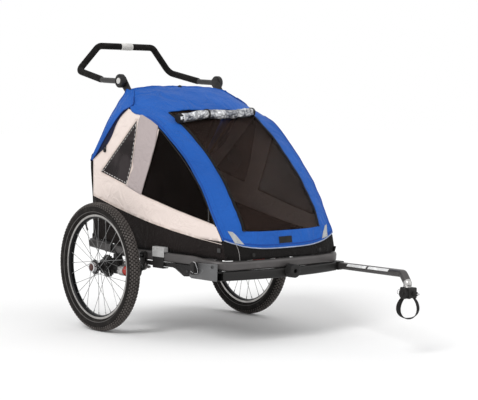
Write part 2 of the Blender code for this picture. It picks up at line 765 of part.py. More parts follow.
def make_swing_arm():
    """Forged arm with the axle sleeve, pawl housing and buffer cup."""
    x, z = PIVOT
    outline = [(0.045, 0.2870), (0, 0.2800), (-0.0212, 0.2712), (-0.0300, 0.2500), (-0.0212, 0.2288),
               (0, 0.2200), (0.045, 0.2250), (0.079, 0.2265), (0.081, 0.2615), (0.206, 0.2605),
               (x - 0.0115, z - 0.0117), (x, z - 0.0165), (x + 0.0115, z - 0.0117), (0.2400, 0.2620),
               (0.2580, 0.2620), (0.2620, 0.2670), (0.2580, 0.2720), (0.2385, 0.2735),
               (x + 0.0115, z + 0.0117), (x, z + 0.0165), (x - 0.0115, z + 0.0117), (0.204, 0.2760),
               (0.090, 0.2765), (0.081, 0.2890), (0.076, 0.3030), (0.052, 0.3030)]
    plate = prism(outline, ARM_IN, ARM_OUT)
    housing = prism([(0.0535, 0.2265), (0.0785, 0.2265), (0.0785, 0.2890), (0.0750, 0.3030), (0.0535, 0.3030)],
                    ARM_OUT - 0.001, ARM_OUT + 0.0185)
    sleeve = rod((0, ARM_IN - 0.0280, WHEEL_RADIUS), (0, ARM_IN + 0.001, WHEEL_RADIUS), 0.0125, 16)
    cup = turned([(0.0150, 0.0775), (0.0195, 0.0840), (CUP_RADIUS, 0.0920), (CUP_RADIUS, CUP_MOUTH_X),
                  (BUFFER_RADIUS + GAP, CUP_MOUTH_X), (BUFFER_RADIUS + GAP, CUP_MOUTH_X - 0.012)],
                 (0, CUP_Y, CUP_Z), ALONG_X, 16)
    slot = box((0.0500, 0.0760), (RING_IN - 0.0003, RING_OUT + 0.0005),
               (WHEEL_RADIUS - PAWL_HALF - GAP, WHEEL_RADIUS + PAWL_HALF + GAP))
    bore = rod((0, ARM_IN - 0.04, WHEEL_RADIUS), (0, ARM_OUT + 0.01, WHEEL_RADIUS), AXLE_RADIUS + 0.0005, 20)
    hole = rod((x, ARM_IN - 0.01, z), (x, ARM_OUT + 0.01, z), BOLT_RADIUS + GAP, 12)
    return cut(unite(plate, housing, sleeve, cup), slot, bore, hole)


def make_buffer():
    """Elastomer between the arm's cup and the bracket's pad, with two waists."""
    start = CUP_MOUTH_X - 0.012 + GAP
    end = PAD_X - GAP
    waist = BUFFER_RADIUS - 0.0030
    profile = [(BUFFER_RADIUS, start), (BUFFER_RADIUS, 0.1180), (waist, 0.1230), (BUFFER_RADIUS, 0.1280),
               (BUFFER_RADIUS, 0.1520), (waist, 0.1570), (BUFFER_RADIUS, 0.1620), (BUFFER_RADIUS, end)]
    return turned(profile, (0, CUP_Y, CUP_Z), ALONG_X, 16)


def make_pawl():
    low = WHEEL_RADIUS - PAWL_HALF
    high = WHEEL_RADIUS + PAWL_HALF
    return prism([(0.0700, low), (0.0700, high), (0.0490, high), (0.0465, high - 0.0010),
                  (0.0465, low + 0.0010), (0.0490, low)], RING_IN, RING_OUT)


# Drawbar and hitch


def bar_end():
    """Where the drawbar ends, just above the hitch."""
    return (HITCH[0] - 0.004, HITCH[1] + 0.0015, 0.2640)


def make_drawbar():
    corners = [(SOCKET_X + 0.032, BAR_Y, BAR_Z, 0), (0.672, BAR_Y, BAR_Z, 0.12),
               (1.152, 0.1080, 0.2900, 0.030), (*bar_end(), 0)]
    bar = sweep(route(corners), round_box(BAR_SIZE, BAR_SIZE, 0.008, 2))
    hole = rod((KNOB_X, BAR_Y + 0.004, PIN_Z), (KNOB_X, BAR_Y + 0.02, PIN_Z), PIN_RADIUS + 0.0007, 10)
    return cut(bar, hole)


def make_hitch_elbow():
    """Silver end fitting, turning down to the swivel pin."""
    end = Vector(bar_end())
    bend = Vector((1.152, 0.1080, 0.2900))
    run = (end - bend).normalized()
    start = end + run * GAP
    foot = Vector((*HITCH, 0.2470))
    elbow = sweep([start, start + run * 0.008, foot + UP * 0.004, foot], circle(0.0145, 12))
    pin = rod(foot + UP * 0.001, foot - UP * 0.014, 0.0060, 12)
    return unite(elbow, pin)


def strap_loop(margin):
    """The safety strap's loop, thicker by a margin where it serves as a cutter."""
    x, y = HITCH
    across = Vector((0.60, 0.80, 0))
    side = Vector((0.80, -0.60, 0))
    middle = Vector((x + 0.004, y, 0.1770))
    steps = 16
    line = []
    for k in range(steps):
        turn = 2 * math.pi * k / steps
        width = 0.0340 - 0.0050 * math.sin(turn)
        line.append(middle + across * width * math.cos(turn) + UP * 0.0400 * math.sin(turn))
    half = 0.0110 + margin
    thick = 0.0015 + margin
    rings = []
    for k, point in enumerate(line):
        forward = (line[(k + 1) % steps] - line[k - 1]).normalized()
        rise = side.cross(forward)
        rings.append([point + side * a + rise * b for a, b in
                      ((half, -thick), (half, thick), (-half, thick), (-half, -thick))])
    return skin(rings, closed=True)


def make_hitch_body():
    """Black hitch housing with its clamp knob and the strap's tunnel."""
    x, y = HITCH
    housing = bevelled(box((x - 0.020, x + 0.028), (y - 0.019, y + 0.019), (0.2080, 0.2465)), 0.005)
    knob = rod((x + 0.006, y - 0.018, 0.2260), (x + 0.006, y - 0.031, 0.2260), 0.0158, 18)
    nose = rod((x + 0.022, y, 0.2260), (x + 0.044, y, 0.2260), 0.0080, 12)
    hole = rod((x, y, 0.2310), (x, y, 0.2600), 0.0065, 14)
    return cut(unite(housing, knob, nose), hole, strap_loop(0.0004))


def make_hitch_strap():
    """Webbing loop hanging from the hitch."""
    return strap_loop(0.0)


# Cabin frame


def edge_normals():
    """In the side view, the outward direction at each cover station's edge."""
    normals = []
    for i in range(len(COVER)):
        a = COVER[max(i - 1, 0)]
        b = COVER[min(i + 1, len(COVER) - 1)]
        run = Vector((b[0] - a[0], 0, b[2] - a[2])).normalized()
        normals.append(Vector((-run.z, 0, run.x)))
    return normals


def make_side_bow():
    """Tube under the cover's edge, from the floor pivot to the hub neck."""
    normals = edge_normals()
    hem = 10
    points = [Vector((BOW_PIVOT[0] + 0.003, BOW_PIVOT_Y, BOW_PIVOT[1] + 0.006))]
    for i in range(hem, 0, -1):
        x, y, z = COVER[i][:3]
        points.append(Vector((x, y - BOW_SIDE_INSET, z)) - normals[i] * BOW_INSET)
    points.append(Vector((0.060, TOP_Y + 0.004, 0.9046)))
    points.append(Vector((0.034, TOP_Y, 0.9214)))
    points.append(Vector((0.002, TOP_Y, 0.9255)))
    tube = sweep(smooth_line(points, 2), circle(BOW_RADIUS, 8))
    x, z = BOW_PIVOT
    eye = rod((x, BOW_PIVOT_Y - BOW_RADIUS, z), (x, BOW_PIVOT_Y + BOW_RADIUS, z), 0.012, 14)
    hole = rod((x, BOW_PIVOT_Y - 0.02, z), (x, BOW_PIVOT_Y + 0.02, z), BOLT_RADIUS + GAP, 12)
    return cut(unite(tube, eye), hole)


def make_roof_cross_tube():
    end = TOP_Y - BOW_RADIUS - 5 * GAP
    return rod((ROOF_BAR[0], -end, ROOF_BAR[1]), (ROOF_BAR[0], end, ROOF_BAR[1]), 0.009, 12)


def make_rear_frame():
    """Two legs with their hinge sleeves, the bar between them and the seat back's bar."""
    x, z = LEG_PIVOT
    sleeve_in = TOP_Y - LEG_RADIUS - 0.0005
    sleeve_out = NECK_IN - GAP
    leg = sweep(route([(x, TOP_Y, z, 0), (x - 0.024, TOP_Y, z - 0.030, 0.08),
                       (LEG_BEND[0], LEG_Y, LEG_BEND[1], 0.06), (LEG_FOOT[0], LEG_Y, LEG_FOOT[1], 0)]),
                circle(LEG_RADIUS, 8))
    sleeve = rod((x, sleeve_in, z), (x, sleeve_out, z), LEG_SLEEVE, 14)
    hole = rod((x, sleeve_in + 0.0022, z), (x, sleeve_out + 0.01, z), 0.0053, 10)
    seat_end = LEG_Y - 0.010
    spot = seat_back_point(SEAT_BAR_SHARE, 0, -SEAT_BAR_RADIUS - GAP)
    seat_bar = rod((spot.x, -seat_end, spot.z), (spot.x, seat_end, spot.z), SEAT_BAR_RADIUS, 12)
    top = rod((x, -sleeve_in - 0.001, z), (x, sleeve_in + 0.001, z), 0.009, 12)
    frame = unite(leg, sleeve, mirrored(leg), mirrored(sleeve), top, seat_bar)
    return cut(frame, hole, mirrored(hole))


def make_hub_neck():
    """Plate from the bow's end to the push bar's hub, with both pivots' pins."""
    plate = prism(hull_of_circles([(HUB[0], HUB[1], 0.021), (LEG_PIVOT[0], LEG_PIVOT[1], 0.0135)]),
                  NECK_IN, NECK_OUT)
    leg_pin = rod((LEG_PIVOT[0], TOP_Y - 0.0063, LEG_PIVOT[1]), (LEG_PIVOT[0], NECK_IN + 0.001, LEG_PIVOT[1]), 0.0048, 12)
    hub_pin = rod((HUB[0], NECK_OUT - 0.001, HUB[1]), (HUB[0], HUB_PIN_OUT, HUB[1]), 0.0080, 12)
    return unite(plate, leg_pin, hub_pin)


# Cloth and film


def cover_point(s, v):
    """The cover's outer surface: s counts stations, v runs from -1 to 1 across."""
    i = min(int(s), len(COVER) - 2)
    t = s - i
    row = [a + (b - a) * t for a, b in zip(COVER[i], COVER[i + 1])]
    rise = 1 - abs(v) ** COVER_POWER
    x = row[0] + (row[3] - row[0]) * rise
    z = row[2] + (row[4] - row[2]) * rise
    return Vector((x, row[1] * v, z))


def surface_normal(surface, s, v, last):
    step = 0.02
    along = surface(min(s + step, last), v) - surface(max(s - step, 0), v)
    across = surface(s, min(v + step, 1)) - surface(s, max(v - step, -1))
    return across.cross(along).normalized() * -1


def sheet(surface, rows, columns, last, outer, inner, lip=0.0, hole=None):
    """Cloth of a thickness over a surface, with lips at its sides and a hole if given."""
    count = len(columns) + (2 if lip else 0)
    layers = []
    for offset in (outer, inner):
        grid = []
        for s in rows:
            line = []
            for v in columns:
                line.append(surface(s, v) + surface_normal(surface, s, v, last) * offset)
            if lip:
                tuck = 0.0 if offset == outer else inner - outer
                for end, side in ((0, 1), (-1, -1)):
                    base = surface(s, columns[end])
                    down = surface_normal(surface, s, columns[end] * 0.5, last)
                    down = Vector((down.x, 0, down.z)).normalized() * -lip
                    wall = Vector((0, math.copysign(tuck, columns[end]), 0))
                    foot = base + down + wall
                    line = [foot] + line if end == 0 else line + [foot]
            grid.append(line)
        layers.append(grid)
    size = len(rows) * count
    points = [p for grid in layers for line in grid for p in line]
    quads = []
    for i in range(len(rows) - 1):
        for j in range(count - 1):
            if not (hole and hole(i, j)):
                a = i * count + j
                quads.append((a, a + 1, a + count + 1, a + count))
    edges = {}
    for quad in quads:
        for a, b in zip(quad, quad[1:] + quad[:1]):
            edges[(a, b)] = edges.get((a, b), 0) + 1
    faces = list(quads) + [tuple(size + p for p in reversed(quad)) for quad in quads]
    for a, b in edges:
        if (b, a) not in edges:
            faces.append((b, a, size + a, size + b))
    used = sorted({p for face in faces for p in face})
    order = {p: k for k, p in enumerate(used)}
    cloth = solid([points[p] for p in used], [tuple(order[p] for p in face) for face in faces])
    return in_triangles(cloth)


COLUMNS = [-1, -0.965, -0.90, -0.80, "window", -0.5, -0.25, 0, 0.25, 0.5, "window", 0.80, 0.90, 0.965, 1]


def cover_columns():
    """Column shares, with the window's edges at their mean share."""
    edge = (WINDOW_TOP_SHARE + WINDOW_FOOT_SHARE) / 2
    columns = []
    for value in COLUMNS:
        if value == "window":
            value = -edge if len(columns) < len(COLUMNS) / 2 else edge
        columns.append(value)
    return columns


def make_cover():
    rows = [0, 1, 2, WINDOW_TOP, 4, 5, 6, 7, 8, 9, WINDOW_FOOT, 10, 11]
    columns = cover_columns()
    edge = (WINDOW_TOP_SHARE + WINDOW_FOOT_SHARE) / 2
    top = rows.index(WINDOW_TOP)
    foot = rows.index(WINDOW_FOOT)

    def hole(i, j):
        if j < 1 or j > len(columns) - 1:
            return False
        middle = (columns[j - 1] + columns[j]) / 2
        return top <= i < foot and abs(middle) < edge

    return sheet(cover_point, rows, columns, 11, 0, -CLOTH, lip=0.007, hole=hole)


def make_front_window():
    """Mesh panel sewn behind the cover's opening."""
    edge = (WINDOW_TOP_SHARE + WINDOW_FOOT_SHARE) / 2 + 0.025
    rows = [WINDOW_TOP - 0.1, 4, 5, 6, 7, 8, 9, WINDOW_FOOT + 0.12]
    columns = [edge * k / 3 for k in range(-3, 4)]
    back = -CLOTH - 0.0012
    return sheet(cover_point, rows, columns, 11, back, back - 0.0012)


def make_window_roll():
    """The clear rain window rolled up above the mesh."""
    radius = 0.0120
    line = []
    for k in range(-5, 6):
        v = 0.65 * k / 5
        normal = surface_normal(cover_point, 2.66, v, 11)
        line.append(cover_point(2.66, v) + normal * (radius + 0.0006))
    return sweep(line, circle(radius, 8), side=ALONG_X)


def side_y(x):
    """The side cloth's outer face, tapering towards the front."""
    return SIDE_Y - max(0.0, x - SIDE_TAPER_X) * SIDE_TAPER


def draped(mesh):
    """A flat side panel moved out to the side cloth's two planes."""
    work = bmesh.new()
    work.from_mesh(mesh)
    geometry = list(work.verts) + list(work.edges) + list(work.faces)
    bmesh.ops.bisect_plane(work, geom=geometry, plane_co=(SIDE_TAPER_X, 0, 0), plane_no=(1, 0, 0))
    for vertex in work.verts:
        vertex.co.y += side_y(vertex.co.x) - SIDE_Y
    work.to_mesh(mesh)
    work.free()
    return mesh


def side_outline():
    """The side panel's outline, tucked inside the cover's edge and above the frame."""
    normals = edge_normals()
    tuck = 0.0095
    top = FRAME_LOW_Z + TUBE_HEIGHT / 2 + 0.001
    front = []
    for i in range(10, 0, -1):
        x, _, z = COVER[i][:3]
        spot = Vector((x, 0, z)) - normals[i] * tuck
        front.append((spot.x, spot.z))
    rear = [(0.092, 0.8600), (-0.004, 0.8010), (-0.068, 0.7050 + 0.024), (-0.150, 0.6620), (-0.146, 0.5000),
            (-0.146, 0.3500)]
    foot = [(0.020, 0.3320), (0.150, top), (0.600, top)]
    return foot + front + rear


BIG_WINDOW = [(0.169, 0.535), (0.383, 0.484), (0.572, 0.447), (0.545, 0.490), (0.508, 0.545), (0.470, 0.590),
              (0.400, 0.662), (0.335, 0.716), (0.262, 0.770)]
SMALL_WINDOW = [(0.136, 0.800), (0.116, 0.716), (0.060, 0.572), (-0.085, 0.613)]


def make_side_panel():
    low = SIDE_Y - SIDE_CLOTH
    panel = prism(side_outline(), low, SIDE_Y)
    opening = prism(BIG_WINDOW, low - 0.01, SIDE_Y + 0.01)
    pane = prism(SMALL_WINDOW, SIDE_Y - 0.0008, SIDE_Y + 0.01)
    return draped(cut(panel, opening, pane))


def make_side_window():
    """Tinted pane filling the side panel's opening, a seam's width smaller."""
    middle = Vector((sum(p[0] for p in BIG_WINDOW), sum(p[1] for p in BIG_WINDOW))) / len(BIG_WINDOW)
    seam = 0.0008
    outline = []
    for x, z in BIG_WINDOW:
        inward = (middle - Vector((x, z))).normalized() * seam
        outline.append((x + inward.x, z + inward.y))
    return draped(prism(outline, SIDE_Y - SIDE_CLOTH + 0.0007, SIDE_Y - 0.0007))


def rear_point(s, v):
    """The rear panel's outer surface."""
    i = min(int(s), len(REAR_PANEL) - 2)
    t = s - i
    row = [a + (b - a) * t for a, b in zip(REAR_PANEL[i], REAR_PANEL[i + 1])]
    bulge = REAR_BULGE * (1 - v * v)
    return Vector((row[0] - bulge, row[1] * v, row[2]))


def make_rear_panel():
    rows = list(range(len(REAR_PANEL)))
    columns = [-1, -0.75, -0.4, 0, 0.4, 0.75, 1]
    return sheet(rear_point, rows, columns, len(REAR_PANEL) - 1, 0, 0.0025)


def make_tub():
    """Floor pan with low walls, reaching over the front tube."""
    front = 0.652
    rear = -0.128
    outer = rounded([(rear, -TUB_HALF), (front, -TUB_HALF), (front, TUB_HALF), (rear, TUB_HALF)], 0.055)
    inside = TUB_HALF - TUB_WALL
    inner = rounded([(rear + TUB_WALL, -inside), (front - TUB_WALL, -inside), (front - TUB_WALL, inside),
                     (rear + TUB_WALL, inside)], 0.0525)
    return cut(slab(outer, TUB_FLOOR, TUB_TOP), slab(inner, TUB_FLOOR + TUB_WALL, TUB_TOP + 0.01))


def make_seat_base():
    """Seat cushion with a crown on each of its two places."""
    return padded_block((-0.085, 0.255), SEAT_HALF, TUB_FLOOR + TUB_WALL + GAP, 0.3560, 0.0130)


def padded_block(x, half, low, high, crown):
    """Cushion lying flat: drawn-in sides, two crowned places and a channel between them."""
    shares_x = [-1, -0.94, -0.75, -0.4, 0, 0.4, 0.75, 0.94, 1]
    shares_y = [-1, -0.96, -0.80, -0.5, -0.2, -0.05, 0, 0.05, 0.2, 0.5, 0.80, 0.96, 1]
    middle = (x[0] + x[1]) / 2
    reach = (x[1] - x[0]) / 2
    top = []
    bottom = []
    for a in shares_x:
        upper = []
        lower = []
        for b in shares_y:
            place = abs(abs(b) - 0.5) * 2
            swell = (1 - a ** 4) * (1 - min(1, place) ** 4)
            edge = 0.010 * (abs(a) == 1 or abs(b) == 1)
            upper.append(Vector((middle + a * reach, b * half, high + crown * swell - edge)))
            lower.append(Vector((middle + a * (reach - 0.004), b * (half - 0.004), low)))
        top.append(upper)
        bottom.append(lower)
    return closed_grid(top, bottom)


def closed_grid(top, bottom):
    """Solid with a grid of points on top and a flat underside inside the second grid's rim."""
    rows = len(top)
    count = len(top[0])
    rim = [(0, j) for j in range(count)]
    rim += [(i, count - 1) for i in range(1, rows)]
    rim += [(rows - 1, j) for j in range(count - 2, -1, -1)]
    rim += [(i, 0) for i in range(rows - 2, 0, -1)]
    size = rows * count
    points = [p for line in top for p in line] + [bottom[i][j] for i, j in rim]
    faces = []
    for i in range(rows - 1):
        for j in range(count - 1):
            a = i * count + j
            faces.append((a, a + 1, a + count + 1, a + count))
    faces.append(tuple(size + k for k in range(len(rim))))
    for k, (i, j) in enumerate(rim):
        after = (k + 1) % len(rim)
        i2, j2 = rim[after]
        faces.append((i2 * count + j2, i * count + j, size + k, size + after))
    return solid(points, faces)




def seat_back_point(t, b, depth):
    """A point of the seat back: t up its height, b across, depth in front of its rear face."""
    foot = Vector((SEAT_BACK_FOOT[0], 0, SEAT_BACK_FOOT[1]))
    head = Vector((SEAT_BACK_HEAD[0], 0, SEAT_BACK_HEAD[1]))
    front = Vector((head.z - foot.z, 0, foot.x - head.x)).normalized()
    return foot + (head - foot) * t + front * depth + Vector((0, b, 0))


def make_seat_back():
    """Padded back for two, rounded at the headrests."""
    half = SEAT_HALF
    shares_t = [0, 0.03, 0.2, 0.4, 0.6, 0.78, 0.9, 0.97, 1]
    shares_y = [-1, -0.96, -0.80, -0.5, -0.2, -0.05, 0, 0.05, 0.2, 0.5, 0.80, 0.96, 1]
    front = []
    back = []
    for t in shares_t:
        ahead = []
        behind = []
        for b in shares_y:
            place = min(1, abs(abs(b) - 0.5) * 2)
            swell = SEAT_BACK_CROWN * (1 - place ** 4) * (1 - (2 * t - 1) ** 6)
            edge = 0.008 * (t in (0, 1) or abs(b) == 1)
            narrow = 1 - 0.10 * max(0, t - 0.6) / 0.4
            drop = 0.05 * max(0, t - 0.78) / 0.22 * place ** 3
            ahead.append(seat_back_point(t - drop, b * half * narrow, SEAT_BACK_THICK + swell - edge))
            behind.append(seat_back_point(t - drop, b * (half - 0.003) * narrow, 0))
        front.append(ahead)
        back.append(behind)
    return closed_grid(front, back)


def make_harness():
    """One child's shoulder straps, buckle and crotch strap, in front of the seat back."""
    middle = SEAT_HALF / 2 + 0.0020
    thick = 0.0026
    on_back = SEAT_BACK_THICK + SEAT_BACK_CROWN + thick / 2 + RUNNING_GAP
    in_buckle = on_back + 0.005
    strap = round_box(0.024, thick, 0.0008, 1)
    straps = []
    for side in (1, -1):
        line = [seat_back_point(0.80, middle + side * 0.046, on_back),
                seat_back_point(0.55, middle + side * 0.040, on_back),
                seat_back_point(0.24, middle + side * 0.008, on_back)]
        straps.append(sweep(line, strap))
    crotch = sweep([seat_back_point(0.22, middle, in_buckle), Vector((-0.030, middle, 0.3690))], strap)
    buckle = sweep([seat_back_point(0.16, middle, in_buckle), seat_back_point(0.26, middle, in_buckle)],
                   round_box(0.044, 0.0095, 0.003, 1))
    return unite(buckle, *straps, crotch)


# Push bar


def bar_corners():
    """The push bar's left half, from the hub to the middle."""
    y = HUB_IN + BAR_TUBE + 0.0008
    return [(HUB[0] - 0.018, y, HUB[1], 0), (-0.150, y, 0.9750, 0.10), (-0.3460, 0.2330, 1.0165, 0.030),
            (-0.3380, 0.1380, 1.1200, 0.035)]


def make_push_bar():
    bar = sweep(route(both_sides(bar_corners())), circle(BAR_TUBE, 10))
    discs = []
    for side in (1, -1):
        profile = [(HUB_RADIUS - 0.002, HUB_IN), (HUB_RADIUS, HUB_IN + 0.003), (HUB_RADIUS, HUB_OUT - 0.003),
                   (HUB_RADIUS - 0.003, HUB_OUT)]
        disc = turned(profile, (HUB[0], 0, HUB[1]), ALONG_Y, 20)
        discs.append(disc if side == 1 else mirrored(disc))
    tools = []
    for side in (1, -1):
        bore = rod((HUB[0], HUB_IN - 0.005, HUB[1]), (HUB[0], HUB_PIN_OUT + 0.0007, HUB[1]), 0.0084, 12)
        recess = rod((HUB[0], HUB_FLOOR, HUB[1]), (HUB[0], HUB_OUT + 0.005, HUB[1]), BUTTON_RADIUS + GAP, 14)
        tools += [bore, recess] if side == 1 else [mirrored(bore), mirrored(recess)]
    return cut(unite(bar, *discs), *tools)


def make_grip():
    """Foam sleeve round the bar's bend."""
    corners = bar_corners()
    start = Vector(corners[1][:3]).lerp(Vector(corners[2][:3]), 0.06)
    line = route([(*start, 0), corners[2], corners[3], (corners[3][0], SLEEVE_HALF, corners[3][2], 0)])
    return sweep(line, circle(GRIP_RADIUS, 10), bore=circle((BAR_TUBE + GAP) / math.cos(math.pi / 10), 10))


def make_hub_button():
    low = HUB_FLOOR + BUTTON_TRAVEL + GAP
    profile = [(BUTTON_RADIUS, low), (BUTTON_RADIUS, HUB_OUT + 0.0010), (BUTTON_RADIUS - 0.0015, HUB_OUT + 0.0020)]
    return turned(profile, (HUB[0], 0, HUB[1]), ALONG_Y, 14)


# Assembly


def build():
    clear_scene()
    make_materials()
    trailer = axis_at("trailer", (0, 0, 0), None)
    trailer.location = (ORIGIN_X, 0, 0)
    cage = axis_at("axis_cage", (BOW_PIVOT[0], 0, BOW_PIVOT[1]), trailer)
    legs = axis_at("axis_rear_frame", (LEG_PIVOT[0], 0, LEG_PIVOT[1]), cage)
    handle = axis_at("axis_push_bar", (HUB[0], 0, HUB[1]), cage)
    pedal = axis_at("axis_brake_pedal", (PEDAL[0], 0, PEDAL[1]), trailer)
    swivel = axis_at("axis_hitch", (*HITCH, 0.2300), trailer)
    arms = {}
    wheels = {}
    for side, sign in (("left", 1), ("right", -1)):
        arms[side] = axis_at("axis_arm_" + side, (PIVOT[0], sign * ARM_IN, PIVOT[1]), trailer)
        wheels[side] = axis_at("axis_wheel_" + side, (0, sign * WHEEL_Y, WHEEL_RADIUS), arms[side])
    fixed = {"left": trailer, "right": trailer}
    caged = {"left": cage, "right": cage}
    handles = {"left": handle, "right": handle}
    backed = {"left": legs, "right": legs}

    piece("floor_frame", make_floor_frame(), "frame_grey", trailer)
    piece("rear_cross_tube", make_rear_cross_tube(), "frame_grey", trailer)
    piece("floor_cross_tube", make_floor_cross_tube(), "frame_grey", trailer)
    piece("front_beam", make_front_beam(), "black_plastic", trailer)
    piece("wheel_socket", make_wheel_socket(), "black_plastic", trailer)
    pair("receiver", make_receiver(), "frame_grey", fixed)
    pair("lock_knob", make_lock_knob(), "black_plastic", fixed)
    pair("pivot_bracket", make_pivot_bracket(), "silver", fixed)
    pair("leaf_spring", make_leaf_spring(), "black_plastic", fixed)
    pair("adjuster", make_adjuster(), "silver", fixed)
    piece("tub", make_tub(), "black_plastic", trailer)
    piece("seat_base", make_seat_base(), "black_cloth", trailer, 60)
    piece("brake_pedal", make_brake_pedal(), "black_plastic", pedal)

    piece("drawbar", make_drawbar(), "frame_grey", trailer)
    piece("hitch_elbow", make_hitch_elbow(), "silver", trailer)
    piece("hitch_body", make_hitch_body(), "black_plastic", swivel)
    piece("hitch_strap", make_hitch_strap(), "webbing", swivel)

    pair("swing_arm", make_swing_arm(), "black_steel", arms)
    pair("arm_bumper", make_buffer(), "red_elastomer", arms)
    pair("brake_pawl", make_pawl(), "black_steel", arms)
    pair("tyre", make_tyre(), "tyre_rubber", wheels)
    pair("rim", make_rim(), "silver", wheels)
    pair("hub_spokes", make_hub(), "spoke_steel", wheels)
    pair("brake_ring", make_brake_ring(), "black_steel", wheels)
    pair("axle_button", make_axle_button(), "black_plastic", wheels)

    pair("side_bow", make_side_bow(), "frame_grey", caged)
    pair("hub_neck", make_hub_neck(), "black_plastic", caged)
    piece("roof_cross_tube", make_roof_cross_tube(), "frame_grey", cage)
    piece("cover", make_cover(), "blue_cloth", cage, 50)
    piece("front_window", make_front_window(), "mesh_cloth", cage, 50)
    piece("window_roll", make_window_roll(), "clear_film", cage)
    piece("rear_frame", make_rear_frame(), "frame_grey", legs)
    piece("seat_back", make_seat_back(), "black_cloth", legs, 60)
    pair("harness", make_harness(), "webbing", backed)
    pair("side_panel", make_side_panel(), "cream_cloth", fixed)
    pair("side_window", make_side_window(), "tinted_film", fixed)
    piece("rear_panel", make_rear_panel(), "black_cloth", trailer, 50)

    piece("push_bar", make_push_bar(), "black_plastic", handle)
    pair("grip", make_grip(), "foam", handles)
    pair("hub_button", make_hub_button(), "silver", handles)


build()
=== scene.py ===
"""Looks of the child bike trailer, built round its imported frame.

Metres, +Z up, +X forward, +Y left. Meshes are written from the wheel axle at X = 0 and moved to the
frame's own origin when they are finished, so every finished object sits at the origin, unturned.
"""

import json
import math

import bmesh
import bpy
from mathutils import Matrix, Vector, noise
from mathutils.geometry import delaunay_2d_cdt

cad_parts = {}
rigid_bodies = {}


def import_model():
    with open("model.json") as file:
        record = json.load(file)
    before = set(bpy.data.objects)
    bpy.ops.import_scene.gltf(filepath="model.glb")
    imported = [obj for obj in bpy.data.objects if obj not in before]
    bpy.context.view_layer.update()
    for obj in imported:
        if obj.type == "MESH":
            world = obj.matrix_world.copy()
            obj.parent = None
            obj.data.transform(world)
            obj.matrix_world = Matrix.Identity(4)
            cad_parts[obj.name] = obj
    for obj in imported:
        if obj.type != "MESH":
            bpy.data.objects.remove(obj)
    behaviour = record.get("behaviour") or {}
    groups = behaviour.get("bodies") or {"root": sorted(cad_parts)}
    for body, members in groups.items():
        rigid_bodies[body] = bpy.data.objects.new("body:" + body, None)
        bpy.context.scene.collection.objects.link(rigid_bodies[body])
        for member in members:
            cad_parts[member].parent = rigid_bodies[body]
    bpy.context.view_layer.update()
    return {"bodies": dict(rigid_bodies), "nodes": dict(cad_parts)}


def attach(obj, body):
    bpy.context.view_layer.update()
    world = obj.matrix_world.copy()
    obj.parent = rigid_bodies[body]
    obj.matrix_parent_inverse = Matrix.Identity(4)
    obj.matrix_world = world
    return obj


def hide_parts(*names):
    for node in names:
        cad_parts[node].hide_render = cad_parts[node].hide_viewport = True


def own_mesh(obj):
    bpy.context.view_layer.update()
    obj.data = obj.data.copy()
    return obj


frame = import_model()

cad = frame["nodes"]

# The frame's own sizes; X is measured from the wheel axle
AXLE_X = -0.4347
GAP = 0.0003
RUNNING_GAP = 0.0005
WHEEL_RADIUS = 0.250
WHEEL_Y = 0.375
RIM_BED = 0.1890
ARM_IN = 0.3205
ARM_OUT = 0.3275
RING_OUT = 0.3370
FLANGE_IN = WHEEL_Y - 0.02025
FLANGE_OUT = WHEEL_Y + 0.01875
FLANGE_RADIUS = 0.0290
HOLE_RADIUS = 0.0255
HUB_CAP_Y = 0.4120
SPOKES_PER_FLANGE = 14
TREAD_BLOCKS = 108
RING_TEETH = 20
TUBE_WIDTH = 0.022
TUBE_HEIGHT = 0.035
FRAME_Y = 0.304
FRAME_OUTER = 0.315
FRAME_INNER = 0.293
FRAME_LOW_Z = 0.309
FRAME_FRONT_Z = 0.2967
BAR_SIZE = 0.026
BAR_Y = 0.3003
BAR_Z = 0.2622
RECEIVER_HALF = BAR_SIZE / 2 + 0.0006
RECEIVER_LOW = BAR_Z - RECEIVER_HALF - 0.0022
PLATE_OUT = 0.3195
KNOB_X = 0.535
HITCH = (1.183, 0.0975)
PIVOT = (0.222, 0.268)
CUP_Y = 0.330
CUP_Z = 0.241
SIDE_Y = 0.297
SIDE_TAPER_X = 0.200
SIDE_TAPER = 0.063
HUB = (-0.035, 0.970)
HUB_RADIUS = 0.027
HUB_IN = 0.2358
HUB_OUT = 0.2558
BAR_TUBE = 0.011
GRIP_RADIUS = 0.0135
SLEEVE_HALF = 0.029
BUTTON_RADIUS = 0.012
SEAT_HALF = 0.232
SEAT_BACK_FOOT = (-0.0720, 0.3740)
SEAT_BACK_HEAD = (-0.1180, 0.7350)
SEAT_BACK_THICK = 0.018
SKIRT_FOOT_Z = 0.3160

# Cover stations, roof to hem to foot: edge X, edge Y, edge Z, crown X, crown Z
COVER = [
    (0.030, 0.2400, 0.935, 0.022, 0.950),
    (0.107, 0.2970, 0.865, 0.110, 0.921),
    (0.188, 0.2970, 0.839, 0.195, 0.872),
    (0.279, 0.2900, 0.797, 0.297, 0.808),
    (0.361, 0.2830, 0.733, 0.390, 0.741),
    (0.428, 0.2770, 0.674, 0.462, 0.680),
    (0.501, 0.2770, 0.595, 0.540, 0.601),
    (0.535, 0.2750, 0.546, 0.580, 0.548),
    (0.570, 0.2750, 0.489, 0.623, 0.488),
    (0.596, 0.2720, 0.443, 0.647, 0.440),
    (0.629, 0.2680, 0.389, 0.666, 0.352),
    (0.640, 0.2680, 0.338, 0.671, 0.322),
]
COVER_POWER = 3.2
WINDOW_TOP = 2.25
WINDOW_FOOT = 9.3
WINDOW_SHARE = 0.680
HEM = 10.0

